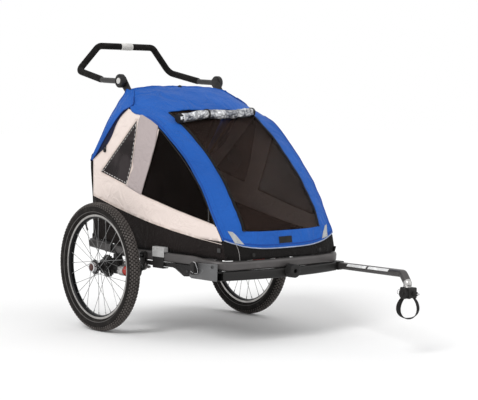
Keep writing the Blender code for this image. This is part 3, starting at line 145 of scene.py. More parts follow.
# Side cloth outlines in side view, X and Z
CREAM_REAR = [(0.107, 0.865), (0.092, 0.8600), (0.046, 0.832), (0.010, 0.797), (-0.020, 0.752),
              (-0.060, 0.712), (-0.100, 0.688), (-0.150, 0.6580)]
CREAM_FOOT = [(-0.150, 0.517), (-0.090, 0.503), (-0.002, 0.480), (0.116, 0.454), (0.235, 0.430),
              (0.353, 0.409), (0.477, 0.391), (0.619, 0.375)]
SMALL_WINDOW = [(0.146, 0.820), (0.141, 0.770), (0.128, 0.716), (0.110, 0.640), (0.078, 0.566),
                (-0.097, 0.613)]
STRIPE = [(0.274, 0.797), (0.262, 0.740), (0.229, 0.662), (0.169, 0.533), (0.070, 0.565),
          (0.106, 0.628), (0.129, 0.716), (0.140, 0.773), (0.170, 0.842), (0.222, 0.822)]

# Rear panel stations at its side edges, top to bottom: X, half width, Z
REAR_PANEL = [(0.012, 0.2080, 0.932), (0.005, 0.2100, 0.910), (0.004, 0.2180, 0.888),
              (-0.013, 0.2640, 0.860), (-0.072, 0.2830, 0.790), (-0.148, 0.2860, 0.697),
              (-0.180, 0.2870, 0.657), (-0.168, 0.2870, 0.500), (-0.166, 0.2870, 0.352)]
REAR_BULGE = 0.012

# Rear strip stations on the left: outer edge on the rear panel, then inner edge at the side
STRIP = [((-0.004, 0.238, 0.938), (0.028, 0.224, 0.9405)),
         ((-0.014, 0.243, 0.917), (0.065, 0.254, 0.9135)),
         ((-0.034, 0.251, 0.892), (0.104, 0.285, 0.8795)),
         ((-0.044, 0.260, 0.868), (0.086, 0.2965, 0.8640)),
         ((-0.056, 0.271, 0.842), (0.052, 0.2950, 0.853)),
         ((-0.076, 0.281, 0.805), (0.004, 0.294, 0.820)),
         ((-0.108, 0.2845, 0.756), (-0.050, 0.292, 0.772)),
         ((-0.144, 0.2865, 0.707), (-0.090, 0.2915, 0.732)),
         ((-0.167, 0.287, 0.677), (-0.132, 0.2900, 0.688)),
         ((-0.182, 0.2875, 0.654), (-0.168, 0.2885, 0.656))]
COVER_LAST = len(COVER) - 1
REAR_LAST = len(REAR_PANEL) - 1
STRIP_LAST = len(STRIP) - 1

# Cloth thicknesses
COVER_THICK = 0.0018
CLOTH_THICK = 0.0016
GUSSET_THICK = 0.0014
STRIPE_THICK = 0.0012
NET_THICK = 0.0008
FILM_THICK = 0.0007

# Sewing
STITCH = 0.0042
HEM_STITCH = 0.0040
REAR_STITCH = 0.0045
TACK = 0.0170
TOOTH = 0.0030
STRAP_SIZE = (0.024, 0.0024)
STRAP_STEPS = 48

# Folds: the joint, the height to flatten towards, and the share to keep; only whether a fold is
# given is read
SIDE_FOLD = ("cage_fold", 0.33, 0.33)

UP = Vector((0, 0, 1))
ALONG_X = Vector((1, 0, 0))
ALONG_Y = Vector((0, 1, 0))
BACKWARD = Vector((-1, 0, 0))
SIDES = ((1, "left"), (-1, "right"))
AXLE = (0, 0, WHEEL_RADIUS)
WHEEL_CENTRE = (0, WHEEL_Y, WHEEL_RADIUS)
FINE_STEP = math.radians(5)
SIDE_STEP = 0.006
LEAST_FILL = 0.31
PAD_PRESSURE = 4.0
PAD_FRAMES = 20
WHITE = (1, 1, 1, 1)

# Camera and light
PHOTO_WIDTH = 478
FOCAL_PIXELS = 1427
SENSOR = 36
CAMERA_PLACE = (4.5492 + AXLE_X, -3.5214, 0.8541)
CAMERA_YAW = math.radians(40.29)
CAMERA_PITCH = math.radians(3.58)
CAMERA_ROLL = math.radians(0.11)
FLOOR_HALF = 40
ROOM_LIGHT = 0.72
# Lamps: name, turn in degrees, power, and size in degrees
LAMPS = (("key", (48, 0, 22), 1.35, 24), ("fill", (62, 0, 118), 0.45, 50))


# Camera, with the photograph's angle and lens


def place_camera():
    flat = math.cos(CAMERA_PITCH)
    look = Vector((-math.cos(CAMERA_YAW) * flat, math.sin(CAMERA_YAW) * flat,
                   -math.sin(CAMERA_PITCH)))
    right = look.cross(UP).normalized()
    up = right.cross(look)
    across = right * math.cos(CAMERA_ROLL) + up * math.sin(CAMERA_ROLL)
    above = -right * math.sin(CAMERA_ROLL) + up * math.cos(CAMERA_ROLL)
    lens = bpy.data.cameras.new("photo_camera")
    lens.sensor_fit = "HORIZONTAL"
    lens.sensor_width = SENSOR
    lens.lens = FOCAL_PIXELS / PHOTO_WIDTH * SENSOR
    camera = linked("photo_camera", lens)
    turn = Matrix((across, above, -look)).transposed().to_4x4()
    camera.matrix_world = Matrix.Translation(CAMERA_PLACE) @ turn
    bpy.context.scene.camera = camera


# Nodes


def add_node(tree, kind, settings=None, values=None):
    """A node with its settings, then the values of its sockets or the sockets that feed them."""
    node = tree.nodes.new(kind)
    for key, value in (settings or {}).items():
        setattr(node, key, value)
    for key, value in (values or {}).items():
        plug(tree, value, node.inputs[key])
    return node


def plug(tree, value, socket):
    if isinstance(value, Value):
        value = value.socket
    if isinstance(value, bpy.types.NodeSocket):
        tree.links.new(value, socket)
    else:
        socket.default_value = value


class Value:
    """A number socket in a material; arithmetic on it adds Math nodes."""

    def __init__(self, finish, socket):
        self.finish = finish
        self.socket = socket

    def math(self, operation, *others, clamp=False):
        return self.finish.maths(operation, self, *others, clamp=clamp)

    def __add__(self, other):
        return self.math("ADD", other)

    def __sub__(self, other):
        return self.math("SUBTRACT", other)

    def __mul__(self, other):
        return self.math("MULTIPLY", other)

    def __truediv__(self, other):
        return self.math("DIVIDE", other)

    def __rsub__(self, other):
        return self.finish.maths("SUBTRACT", other, self)

    def __rtruediv__(self, other):
        return self.finish.maths("DIVIDE", other, self)

    def __gt__(self, other):
        return self.math("GREATER_THAN", other)

    def __lt__(self, other):
        return self.math("LESS_THAN", other)

    __radd__ = __add__
    __rmul__ = __mul__

    def wave(self, pitch, operation="SINE"):
        """A wave that repeats at the pitch."""
        return (self * (math.tau / pitch)).math(operation)

    def ramp(self, low, high):
        """0 below low, 1 above high, smooth between."""
        node = self.finish.node("ShaderNodeMapRange", {"interpolation_type": "SMOOTHSTEP"},
                                {"Value": self, "From Min": low, "From Max": high})
        return Value(self.finish, node.outputs[0])


class Finish:
    """One material: its nodes come from one method, and end in a Principled shader."""

    def __init__(self, name, colour, rough, constants=None):
        self.material = bpy.data.materials.new(name)
        self.material.use_nodes = True
        self.tree = self.material.node_tree
        self.shader = self.tree.nodes["Principled BSDF"]
        self.shader.inputs["Base Color"].default_value = (*colour, 1)
        self.shader.inputs["Roughness"].default_value = rough
        for socket, value in (constants or {}).items():
            self.shader.inputs[socket].default_value = value

    def node(self, kind, settings=None, values=None):
        return add_node(self.tree, kind, settings, values)

    def maths(self, operation, *terms, clamp=False):
        node = self.node("ShaderNodeMath", {"operation": operation, "use_clamp": clamp},
                         dict(enumerate(terms)))
        return Value(self, node.outputs[0])

    def place(self, source="Object", stretch=(1, 1, 1), turn=(0, 0, 0)):
        coordinates = self.node("ShaderNodeTexCoord")
        if stretch == (1, 1, 1) and turn == (0, 0, 0):
            return coordinates.outputs[source]
        mapped = self.node("ShaderNodeMapping", None, {
            "Vector": coordinates.outputs[source], "Scale": stretch, "Rotation": turn})
        return mapped.outputs[0]

    def axes(self, source="Object"):
        parts = self.node("ShaderNodeSeparateXYZ", None, {0: self.place(source)})
        return [Value(self, parts.outputs[k]) for k in range(3)]

    def about_axle(self):
        """X and Z from the wheel axle, and the distance from it."""
        x, _, z = self.axes()
        x = x - AXLE_X
        z = z - WHEEL_RADIUS
        return x, z, (x * x + z * z).math("SQRT")

    def grain(self, scale, detail=3, distortion=0.0, source="Object", stretch=(1, 1, 1),
              turn=(0, 0, 0)):
        node = self.node("ShaderNodeTexNoise", None, {
            "Vector": self.place(source, stretch, turn), "Scale": scale, "Detail": detail,
            "Distortion": distortion})
        return Value(self, node.outputs[0])

    def cells(self, scale, source="Object", feature="F1"):
        node = self.node("ShaderNodeTexVoronoi", {"feature": feature},
                         {"Vector": self.place(source), "Scale": scale})
        return Value(self, node.outputs[0])

    def blend(self, share, first, second):
        """Two colours mixed by a share."""
        def colour(c):
            return (*c, 1) if isinstance(c, tuple) and len(c) == 3 else c
        node = self.node("ShaderNodeMix", {"data_type": "RGBA"},
                         {0: share, 6: colour(first), 7: colour(second)})
        return node.outputs[2]

    def bump(self, height, distance, strength=1.0, under=None):
        values = {"Height": height, "Distance": distance, "Strength": strength}
        if under is not None:
            values["Normal"] = under
        return self.node("ShaderNodeBump", None, values).outputs[0]

    def feed(self, **sockets):
        for name, value in sockets.items():
            plug(self.tree, value, self.shader.inputs[name.replace("_", " ")])
        return self.material


# Finishes


def toned(colour, factor, lift=0.0, most=math.inf):
    """The colour made darker or paler."""
    return tuple(min(most, c * factor + lift) for c in colour)


def woven(name, colour, shade, pitch=0.0011, crease=0.0045, rough=0.62, sheen=0.04, laid="UV"):
    """Coated cloth: crossed threads along the cut, soft creases and a slow change of shade."""
    f = Finish(name, colour, rough, {"Sheen Weight": sheen, "Sheen Roughness": 0.4,
                                     "Specular IOR Level": 0.14})
    u, v, w = f.axes(laid)
    if laid == "Object":
        u, v = v, u + w
    warp = u.wave(pitch)
    weft = v.wave(pitch)
    thread = warp * weft * 0.5 + 0.5
    slow = f.grain(5.5, 3, 0.4)
    crumple = f.grain(13, 4, 1.1)
    fold = (crumple - 0.5).math("ABSOLUTE") * 2
    worn = f.grain(160, 2)
    share = (slow * 0.75 + thread * 0.22 + worn * 0.14 - 0.10).math("MAXIMUM", 0.0)
    soft = f.bump(1 - fold, crease, 0.75)
    normal = f.bump(thread + worn * 0.5, 0.00022, 0.6, soft)
    return f.feed(Base_Color=f.blend(share, colour, shade), Roughness=rough + (worn - 0.5) * 0.16,
                  Normal=normal)


def netting(name, colour, pitch=0.0017):
    """Insect mesh: threads with open squares between them."""
    f = Finish(name, colour, 0.72, {"Specular IOR Level": 0.06})
    u, v, _ = f.axes("UV")
    thread = u.wave(pitch, "COSINE").math("MAXIMUM", v.wave(pitch, "COSINE")).ramp(0.0, 0.75)
    slow = f.grain(7, 3, 0.5)
    dark = toned(colour, 0.62)
    return f.feed(Base_Color=f.blend(slow.ramp(0.3, 0.7), colour, dark), Alpha=thread * 0.34 + 0.28,
                  Normal=f.bump(thread, 0.0003, 0.5, f.bump(slow, 0.006, 0.5)))


def film(name, colour, alpha, rough, ripple=0.004, cloud=0.25):
    """Soft window film with slow ripples and faint scuffs."""
    f = Finish(name, colour, rough, {"Specular IOR Level": 0.02})
    slow = f.grain(6.5, 3, 0.8)
    scuff = f.grain(90, 4, 0.2, stretch=(1, 1, 6))
    mist = toned(colour, 1.7, 0.001, 1.0)
    return f.feed(Base_Color=f.blend(slow.ramp(0.35, 0.8) * cloud * 4, colour, mist),
                  Roughness=scuff * 0.16 + rough - 0.06, Alpha=alpha + (slow - 0.5) * 0.10,
                  Normal=f.bump(slow, ripple, 0.7))


def crinkled_film_with_painted_glints(name):
    """Clear film crumpled in its roll: bright facets between fine creases, the brightness painted
    highlight and the dark between them painted shade.
    """
    f = Finish(name, (0.62, 0.64, 0.68), 0.12,
               {"Coat Weight": 0.6, "Coat Roughness": 0.05, "IOR": 1.5})
    facet = f.cells(95)
    broad = f.cells(24)
    line = f.cells(60, feature="DISTANCE_TO_EDGE")
    # tone paints highlights on the facets and shade in the creases into the colour, and sets
    # metallic and roughness with them
    tone = (facet * 0.6 + broad * 1.0).ramp(0.30, 1.15)
    return f.feed(Base_Color=f.blend(tone, (0.95, 0.96, 0.98), (0.09, 0.10, 0.13)),
                  Metallic=tone * 0.55, Roughness=0.10 + tone * 0.25,
                  Normal=f.bump(facet + broad * 1.4 + line * 0.5, 0.010, 0.9))


def coated_metal(name, colour, rough, metallic):
    """Coated or anodised metal: fine peel, faint stains and paler worn spots."""
    f = Finish(name, colour, rough, {"Metallic": metallic, "Specular IOR Level": 0.28})
    peel = f.grain(900, 2)
    stain = f.grain(11, 4, 0.6)
    spot = f.grain(38, 5, 0.9)
    pale = toned(colour, 1.35, 0.01, 1.0)
    base = f.blend(stain.ramp(0.30, 0.75), toned(colour, 0.80), colour)
    return f.feed(Base_Color=f.blend(spot.ramp(0.60, 0.78) * 0.55, base, pale),
                  Roughness=rough + (stain - 0.5) * 0.22, Normal=f.bump(peel, 0.00018, 0.5))


def moulded(name, colour, rough=0.5):
    """Moulded plastic with an eroded skin and rubbed, glossier places."""
    f = Finish(name, colour, rough, {"Specular IOR Level": 0.22})
    rub = f.grain(17, 4, 0.8)
    return f.feed(Base_Color=f.blend(rub.ramp(0.45, 0.80) * 0.6, colour, toned(colour, 1.9, 0.004)),
                  Roughness=rough + (0.5 - rub) * 0.28, Normal=f.bump(f.cells(1250), 0.00035, 0.55))


def brushed(name, colour, rough, scale=420):
    """Bare metal with fine drawn lines."""
    f = Finish(name, colour, rough, {"Metallic": 1.0})
    line = f.grain(scale)
    tone = f.grain(23, 3, 0.4)
    return f.feed(Base_Color=f.blend(tone.ramp(0.3, 0.8), colour, toned(colour, 0.68)),
                  Roughness=rough + (line - 0.5) * 0.22, Normal=f.bump(line, 0.00012, 0.45))


def rubber(name, colour, dust_and_highlight, rough=0.78):
    """Tyre rubber: dusty patches, a shoulder paled as painted highlight, fine ribs round the side
    wall and a matt tread.
    """
    f = Finish(name, colour, rough, {"Specular IOR Level": 0.12})
    x, z, radius = f.about_axle()
    turn = z.math("ARCTAN2", x)
    rib = radius.wave(0.0034)
    wall = 1 - radius.ramp(0.2360, 0.2400)
    tick_band = radius.ramp(0.2270, 0.2285)
    tick = (turn * 180).math("SINE").ramp(0.1, 0.7) * tick_band * (1 - radius.ramp(0.2345, 0.2360))
    grime = f.grain(42, 4, 0.9)
    height = (rib * 0.25 + tick * 0.9) * wall + f.grain(620, 2) * 0.35
    band = radius.ramp(0.2125, 0.2131) * (1 - radius.ramp(0.2146, 0.2152)) * 0.55
    # shoulder pales the tyre's shoulder as a painted highlight; tone adds it to the random dust
    shoulder = (1 - radius.ramp(0.2472, 0.2489)) * radius.ramp(0.2380, 0.2420) * 0.30
    tone = grime.ramp(0.42, 0.78) * 0.55 + shoulder
    base = f.blend(tone, colour, dust_and_highlight)
    return f.feed(Base_Color=f.blend(band, base, (0.20, 0.19, 0.185)),
                  Roughness=rough + (grime - 0.5) * 0.18, Normal=f.bump(height, 0.0009, 0.7))


def foam_skin(name, colour):
    """Foam with small pores."""
    f = Finish(name, colour, 0.92, {"Specular IOR Level": 0.08, "Sheen Weight": 0.02})
    pores = f.cells(780)
    broad = f.grain(60, 3, 0.4)
    return f.feed(Base_Color=f.blend(broad.ramp(0.35, 0.75), colour, toned(colour, 1.8, 0.003)),
                  Roughness=0.86 + pores * 0.12, Normal=f.bump(pores + broad * 1.5, 0.0006, 0.7))


def strap_weave(name, colour):
    """Webbing: raised ribs across the strap and fine fuzz."""
    f = Finish(name, colour, 0.8, {"Sheen Weight": 0.04, "Specular IOR Level": 0.12})
    u, v, _ = f.axes("UV")
    rib = v.wave(0.0016)
    row = u.wave(0.0016 * 1.6)
    cord_height = rib * 0.6 + row * rib * 0.4
    fuzz = f.grain(240, 3)
    share = (cord_height * 0.25 + fuzz * 0.6).ramp(0.2, 0.8)
    return f.feed(Base_Color=f.blend(share, colour, toned(colour, 2.1, 0.006)),
                  Roughness=0.74 + fuzz * 0.14,
                  Normal=f.bump(cord_height + fuzz * 0.4, 0.0005, 0.8))


def rim_metal(name):
    """Rim: machined silver at the edges and black towards the hub."""
    f = Finish(name, (0.4, 0.4, 0.4), 0.35, {"Metallic": 0.85})
    _, _, radius = f.about_axle()
    turned_line = radius.wave(0.0006)
    face = radius.ramp(0.1948, 0.1956)
    stain = f.grain(18, 3, 0.6)
    silver = f.blend(stain.ramp(0.3, 0.8), (0.46, 0.445, 0.43), (0.30, 0.29, 0.28))
    return f.feed(Base_Color=f.blend(face, (0.012, 0.012, 0.013), silver),
                  Roughness=0.42 - face * 0.10, Normal=f.bump(turned_line * face, 0.00010, 0.5))


def reflective(name):
    """Grey reflective cloth with a fine bead texture."""
    f = Finish(name, (0.36, 0.37, 0.37), 0.38, {"Metallic": 0.25})
    bead = f.cells(900)
    slow = f.grain(20, 3, 0.5)
    return f.feed(Base_Color=f.blend(slow.ramp(0.3, 0.8), (0.42, 0.43, 0.43), (0.27, 0.28, 0.28)),
                  Roughness=0.30 + bead * 0.2, Normal=f.bump(bead, 0.0003, 0.6))


BLUE = woven("blue_cloth", (0.018, 0.128, 0.510), (0.008, 0.060, 0.280), crease=0.011)
# Darker blue for the bindings, also used as painted shade for the fold line above the hem.
BLUE_TRIM_AND_FOLD_SHADE = woven("blue_binding", (0.012, 0.065, 0.330), (0.008, 0.042, 0.220), crease=0.001)
# Near-black navy: painted shade for the recessed gusset behind the rear strip.
NAVY_SHADE = woven("navy_gusset", (0.006, 0.010, 0.045), (0.003, 0.005, 0.022))
CREAM = woven("cream_cloth", (0.830, 0.725, 0.675), (0.730, 0.625, 0.575), crease=0.007, rough=0.7)
GREY_CREAM = woven("grey_cream_cloth", (0.500, 0.430, 0.425), (0.350, 0.300, 0.296), crease=0.008,
                   rough=0.7)
DARK_CLOTH = woven("black_cloth", (0.0150, 0.0106, 0.0098), (0.0068, 0.0050, 0.0047), crease=0.009,
                   rough=0.74)
FRONT_CLOTH = woven("front_skirt_cloth", (0.0066, 0.0054, 0.0050), (0.0030, 0.0025, 0.0023),
                    crease=0.009, rough=0.76)
SEAT_CLOTH = woven("seat_cloth", (0.0260, 0.0235, 0.0230), (0.0120, 0.0110, 0.0110), pitch=0.0016,
                   crease=0.003, rough=0.85, laid="Object")
MESH_NET = netting("mesh_cloth", (0.030, 0.0185, 0.0150))
DARK_FILM = film("smoked_film", (0.0038, 0.0024, 0.0020), 0.78, 0.20)
SMALL_FILM = film("grey_film", (0.026, 0.022, 0.0225), 0.93, 0.16, ripple=0.014, cloud=0.8)
# The rolled film's bright and dark crinkles are painted highlights and painted shade.
ROLLED_FILM = crinkled_film_with_painted_glints("rolled_film")
FRAME_GREY = coated_metal("frame_grey", (0.098, 0.092, 0.091), 0.40, 0.50)
BLACK_METAL = coated_metal("black_coated_steel", (0.0120, 0.0112, 0.0108), 0.46, 0.05)
SILVER = brushed("forged_aluminium", (0.56, 0.55, 0.54), 0.34)
STEEL = brushed("bright_steel", (0.62, 0.62, 0.63), 0.22, scale=700)
DARK_STEEL = brushed("dark_bolt_steel", (0.10, 0.10, 0.10), 0.38)
BLACK_PLASTIC = moulded("black_plastic", (0.0130, 0.0122, 0.0120))
GREY_PLASTIC = moulded("grey_plastic", (0.045, 0.044, 0.044), 0.46)
PALE_PLASTIC = moulded("pale_plastic", (0.56, 0.55, 0.53), 0.42)
SOFT_BLACK = moulded("black_rubber_trim", (0.0120, 0.0115, 0.0110), 0.66)
# Its second colour serves as both dust and the painted highlight on the tyre's shoulder.
TYRE = rubber("tyre_rubber", (0.0120, 0.0105, 0.0098), (0.045, 0.040, 0.037))
# A much paler copy of the tyre rubber for the tread blocks, as a painted highlight on the tread.
TREAD_HIGHLIGHT_RUBBER = moulded("tread_rubber", (0.082, 0.073, 0.068), 0.85)
SPOKE_WIRE = brushed("spoke_wire", (0.30, 0.30, 0.30), 0.38, scale=700)
RIM = rim_metal("rim_alloy")
FOAM = foam_skin("handle_foam", (0.0085, 0.0075, 0.0072))
RED = moulded("red_elastomer", (0.420, 0.045, 0.035), 0.42)
DARK_RED = moulded("dark_red_button", (0.060, 0.022, 0.018), 0.40)
WEBBING = strap_weave("black_webbing", (0.0085, 0.0080, 0.0080))
REFLECTIVE = reflective("reflective_cloth")
THREAD = moulded("sewing_thread", (0.020, 0.020, 0.022), 0.8)
PALE_THREAD = moulded("pale_thread", (0.60, 0.53, 0.47), 0.8)
BLUE_THREAD = moulded("blue_thread", (0.010, 0.050, 0.270), 0.8)
PIPING = moulded("pale_piping", (0.30, 0.34, 0.44), 0.6)
PLATE_GREY = coated_metal("plate_grey", (0.150, 0.150, 0.152), 0.42, 0.45)
LIGHT_METAL = coated_metal("grey_cast_metal", (0.52, 0.515, 0.51), 0.44, 0.25)
WEBBING_PLAIN = moulded("roll_elastic", (0.0120, 0.0115, 0.0115), 0.75)
CREAM_CORD = moulded("cream_cord", (0.62, 0.53, 0.48), 0.7)
GREY_CORD = moulded("grey_cord", (0.30, 0.29, 0.28), 0.8)
WHITE_STRIP = moulded("white_strip", (0.86, 0.86, 0.85), 0.5)
BAR_METAL = coated_metal("bar_grey", (0.050, 0.048, 0.048), 0.42, 0.4)
# White thread, also used as a painted highlight for the small window's bright crinkles.
WHITE_THREAD_HIGHLIGHT = moulded("white_thread", (0.62, 0.60, 0.58), 0.7)


# Lines, sections and mesh makers, in metres from the axle


def open_mesh(name, points, faces):
    mesh = bpy.data.meshes.new(name)
    mesh.from_pydata([tuple(p) for p in points], [], faces)
    return mesh


def solid(points, faces):
    """Closed mesh with its faces pointing out."""
    mesh = open_mesh("solid", points, faces)
    work = bmesh.new()
    work.from_mesh(mesh)
    bmesh.ops.recalc_face_normals(work, faces=work.faces)
    work.to_mesh(mesh)
    work.free()
    return mesh


def skin(rings, closed=False):
    """Quads over a run of rings with equal counts, capped unless the run closes on itself."""
    count = len(rings[0])
    points = [p for ring in rings for p in ring]
    faces = []
    for i in range(len(rings) if closed else len(rings) - 1):
        a = i * count
        b = (i + 1) % len(rings) * count
        for j in range(count):
            k = (j + 1) % count
            faces.append((a + j, a + k, b + k, b + j))
    if not closed:
        faces.append(tuple(range(count)))
        faces.append(tuple(range(len(points) - count, len(points))))
    return solid(points, faces)


def route(corners, step=FINE_STEP):
    """Points along straight runs joined by arcs. A corner is x, y, z and a bend radius."""
    line = [Vector(corners[0][:3])]
    for before, corner, after in zip(corners, corners[1:], corners[2:]):
        spot = Vector(corner[:3])
        a = (Vector(before[:3]) - spot).normalized()
        b = (Vector(after[:3]) - spot).normalized()
        bend = math.pi - a.angle(b)
        reach = corner[3] * math.tan(bend / 2)
        centre = spot + (a + b).normalized() * (corner[3] / math.cos(bend / 2))
        start = spot + a * reach - centre
        end = spot + b * reach - centre
        steps = max(2, round(bend / step), round(bend * corner[3] / 0.05))
        for k in range(steps + 1):
            line.append(centre + start.slerp(end, k / steps) * corner[3])
    line.append(Vector(corners[-1][:3]))
    return line


def both_sides(corners):
    """A left half's corners, then the same mirrored to the right."""
    return corners + [(x, -y, z, r) for x, y, z, r in reversed(corners) if y]


def catmull(a, b, c, d, t):
    return 0.5 * (2 * b + (c - a) * t + (2 * a - 5 * b + 4 * c - d) * t * t
                  + (3 * b - a - 3 * c + d) * t ** 3)


def smooth_line(points, steps):
    """Catmull-Rom curve through the points."""
    points = [Vector(p) for p in points]
    ends = [2 * points[0] - points[1]] + points + [2 * points[-1] - points[-2]]
    line = []
    for a, b, c, d in zip(ends, ends[1:], ends[2:], ends[3:]):
        for k in range(steps):
            line.append(catmull(a, b, c, d, k / steps))
    line.append(points[-1])
    return line


def smooth_outline(points, steps):
    return [(p.x, p.y) for p in smooth_line([(x, z, 0) for x, z in points], steps)]


def turns(count):
    """Even angles round a full turn."""
    return [math.tau * k / count for k in range(count)]


def circle(radius, sides):
    return [(radius * math.cos(t), radius * math.sin(t)) for t in turns(sides)]


def distances(line):
    """The way covered at each point of a line."""
    run = [0.0]
    for a, b in zip(line, line[1:]):
        run.append(run[-1] + (b - a).length)
    return run


def other_half(profile):
    """The mirror image of a half profile, run back."""
    return [(radius, -along) for radius, along in reversed(profile)]


def round_box(width, height, radius, steps=4):
    """Section points of a rectangle with round corners."""
    points = []
    for quarter in range(4):
        sx = 1 if quarter in (0, 3) else -1
        sy = 1 if quarter in (0, 1) else -1
        for k in range(steps + 1):
            turn = math.pi / 2 * (quarter + k / steps)
            points.append((sx * (width / 2 - radius) + radius * math.cos(turn),
                           sy * (height / 2 - radius) + radius * math.sin(turn)))
    return points


def frames_along(line, side):
    """At each point the two directions across the line, carried along without twist."""
    frames = []
    for i, point in enumerate(line):
        forward = (line[min(i + 1, len(line) - 1)] - line[max(i - 1, 0)]).normalized()
        side = (side - forward * side.dot(forward)).normalized()
        frames.append((point, side, side.cross(forward)))
    return frames


def apart(line):
    """The line without points that lie on the one before."""
    line = [Vector(p) for p in line]
    return [p for i, p in enumerate(line) if i == 0 or (p - line[i - 1]).length > 1e-5]


def sweep(line, section, side=ALONG_Y, closed=False, swell=None):
    """A section carried along a line; swell scales it along the way."""
    line = apart(line)
    rings = []
    for i, (point, across, rise) in enumerate(frames_along(line, side)):
        size = swell(i / (len(line) - 1)) if swell else 1
        rings.append([point + across * a * size + rise * b * size for a, b in section])
    return skin(rings, closed=closed)


def strap(line, width, thick, side):
    """Flat webbing along a line, with its cut laid out in metres: across is u, along is v."""
    half = width / 2
    edge = thick * 0.35
    section = [(half, -thick / 2 + edge), (half, thick / 2 - edge), (half - edge, thick / 2),
               (-half + edge, thick / 2), (-half, thick / 2 - edge), (-half, -thick / 2 + edge),
               (-half + edge, -thick / 2), (half - edge, -thick / 2)]
    mesh = sweep(line, section, side=Vector(side))
    run = distances(apart(line))
    count = len(section)
    lay_out(mesh, lambda k: (section[k % count][0], run[min(k // count, len(run) - 1)]))
    return mesh


def turned(profile, centre, axis, segments, ring=False):
    """A profile of (radius, distance along the axis) turned about the axis."""
    axis = Vector(axis)
    across = UP if axis.cross(UP).length > 0.5 else ALONG_X
    across = (across - axis * across.dot(axis)).normalized()
    other = axis.cross(across)
    rings = []
    for radius, along in profile:
        middle = Vector(centre) + axis * along
        rings.append([middle + across * radius * math.cos(t) + other * radius * math.sin(t)
                      for t in turns(segments)])
    return skin(rings, closed=ring)


def rod(start, end, radius, segments=20):
    start = Vector(start)
    run = Vector(end) - start
    return turned([(radius, 0), (radius, run.length)], start, run.normalized(), segments)


def rods_round(x, z, radius, angles, low, high, thick, segments):
    """Rods along Y, set in a ring round (x, z)."""
    rods = []
    for t in angles:
        a, b = x + radius * math.cos(t), z + radius * math.sin(t)
        rods.append(rod((a, low, b), (a, high, b), thick, segments))
    return rods


def prism(outline, low, high):
    """An outline in X and Z given thickness from Y = low to Y = high."""
    return skin([[Vector((x, y, z)) for x, z in outline] for y in (low, high)])


def box(x, y, z):
    return prism([(x[0], z[0]), (x[1], z[0]), (x[1], z[1]), (x[0], z[1])], y[0], y[1])


def rounded(outline, radius, step=math.radians(15)):
    """A closed outline with each corner rounded."""
    points = []
    count = len(outline)
    for i, (x, z) in enumerate(outline):
        before = outline[i - 1]
        after = outline[(i + 1) % count]
        corner = [(before[0], before[1], 0, 0), (x, z, 0, radius), (after[0], after[1], 0, 0)]
        points += [(p.x, p.y) for p in route(corner, step)[1:-1]]
    return points


def hull_of_circles(circles, steps=14):
    """Outline round two circles (x, z, radius) and their common tangents."""
    (x0, z0, r0), (x1, z1, r1) = circles
    heading = math.atan2(z1 - z0, x1 - x0)
    lean = math.acos((r0 - r1) / math.hypot(x1 - x0, z1 - z0))
    points = []
    for x, z, r, first, way in ((x0, z0, r0, heading + lean, 2 * math.pi - 2 * lean),
                                (x1, z1, r1, heading - lean, 2 * lean)):
        for k in range(steps + 1):
            turn = first + way * k / steps
            points.append((x + r * math.cos(turn), z + r * math.sin(turn)))
    return points


def shown_mesh(ob):
    """A new mesh with what the object's modifiers show."""
    view = bpy.context.evaluated_depsgraph_get()
    return bpy.data.meshes.new_from_object(ob.evaluated_get(view))


def combine(base, tools, operation):
    """One mesh from a base and the tools that are joined to it or cut from it."""
    body = linked("body", base)
    made = [body]
    for tool in tools:
        cutter = linked("tool", tool)
        made.append(cutter)
        step = body.modifiers.new("combine", "BOOLEAN")
        step.solver = "EXACT"
        step.operation = operation
        step.object = cutter
    result = shown_mesh(body)
    for ob in made:
        bpy.data.objects.remove(ob, do_unlink=True)
    return result


def unite(base, *tools):
    return combine(base, tools, "UNION")


def cut(base, *tools):
    return combine(base, tools, "DIFFERENCE")


def bevelled(mesh, width, angle=40, segments=2):
    """The mesh with its sharp edges rounded."""
    work = bmesh.new()
    work.from_mesh(mesh)
    bmesh.ops.remove_doubles(work, verts=work.verts, dist=1e-6)
    sharp = [e for e in work.edges if e.is_manifold and e.calc_face_angle() > math.radians(angle)]
    bmesh.ops.bevel(work, geom=sharp, offset=width, segments=segments, affect="EDGES", profile=0.6)
    work.to_mesh(mesh)
    work.free()
    return mesh


def mirrored(mesh):
    """The same mesh on the other side of the trailer."""
    copy = mesh.copy()
    copy.transform(Matrix.Scale(-1, 4, ALONG_Y))
    copy.flip_normals()
    return copy


def joined(*meshes):
    """Several meshes as one, without a boolean."""
    work = bmesh.new()
    for mesh in meshes:
        work.from_mesh(mesh)
    result = bpy.data.meshes.new("joined")
    work.to_mesh(result)
    work.free()
    return result


def lay_out(mesh, cut_place):
    """The cut in metres as the UV map: cut_place gives u and v for a vertex."""
    layer = mesh.uv_layers.new(name="cut")
    for loop in mesh.loops:
        layer.data[loop.index].uv = cut_place(loop.vertex_index)


# Objects


def linked(name, data):
    """A new object in the scene."""
    ob = bpy.data.objects.new(name, data)
    bpy.context.scene.collection.objects.link(ob)
    return ob


def piece(name, mesh, finish, body, replaces=(), smooth=35):
    """A finished object on its body, at the origin, with its place in its mesh."""
    ob = linked(name, mesh)
    mesh.name = name
    mesh.transform(Matrix.Translation((AXLE_X, 0, 0)))
    mesh.materials.clear()
    mesh.materials.append(finish)
    mesh.shade_smooth()
    mesh.set_sharp_from_angle(angle=math.radians(smooth))
    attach(ob, body)
    if replaces:
        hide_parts(*replaces)
    return ob


def on_sides(names, side):
    return [name + "_" + side for name in names]


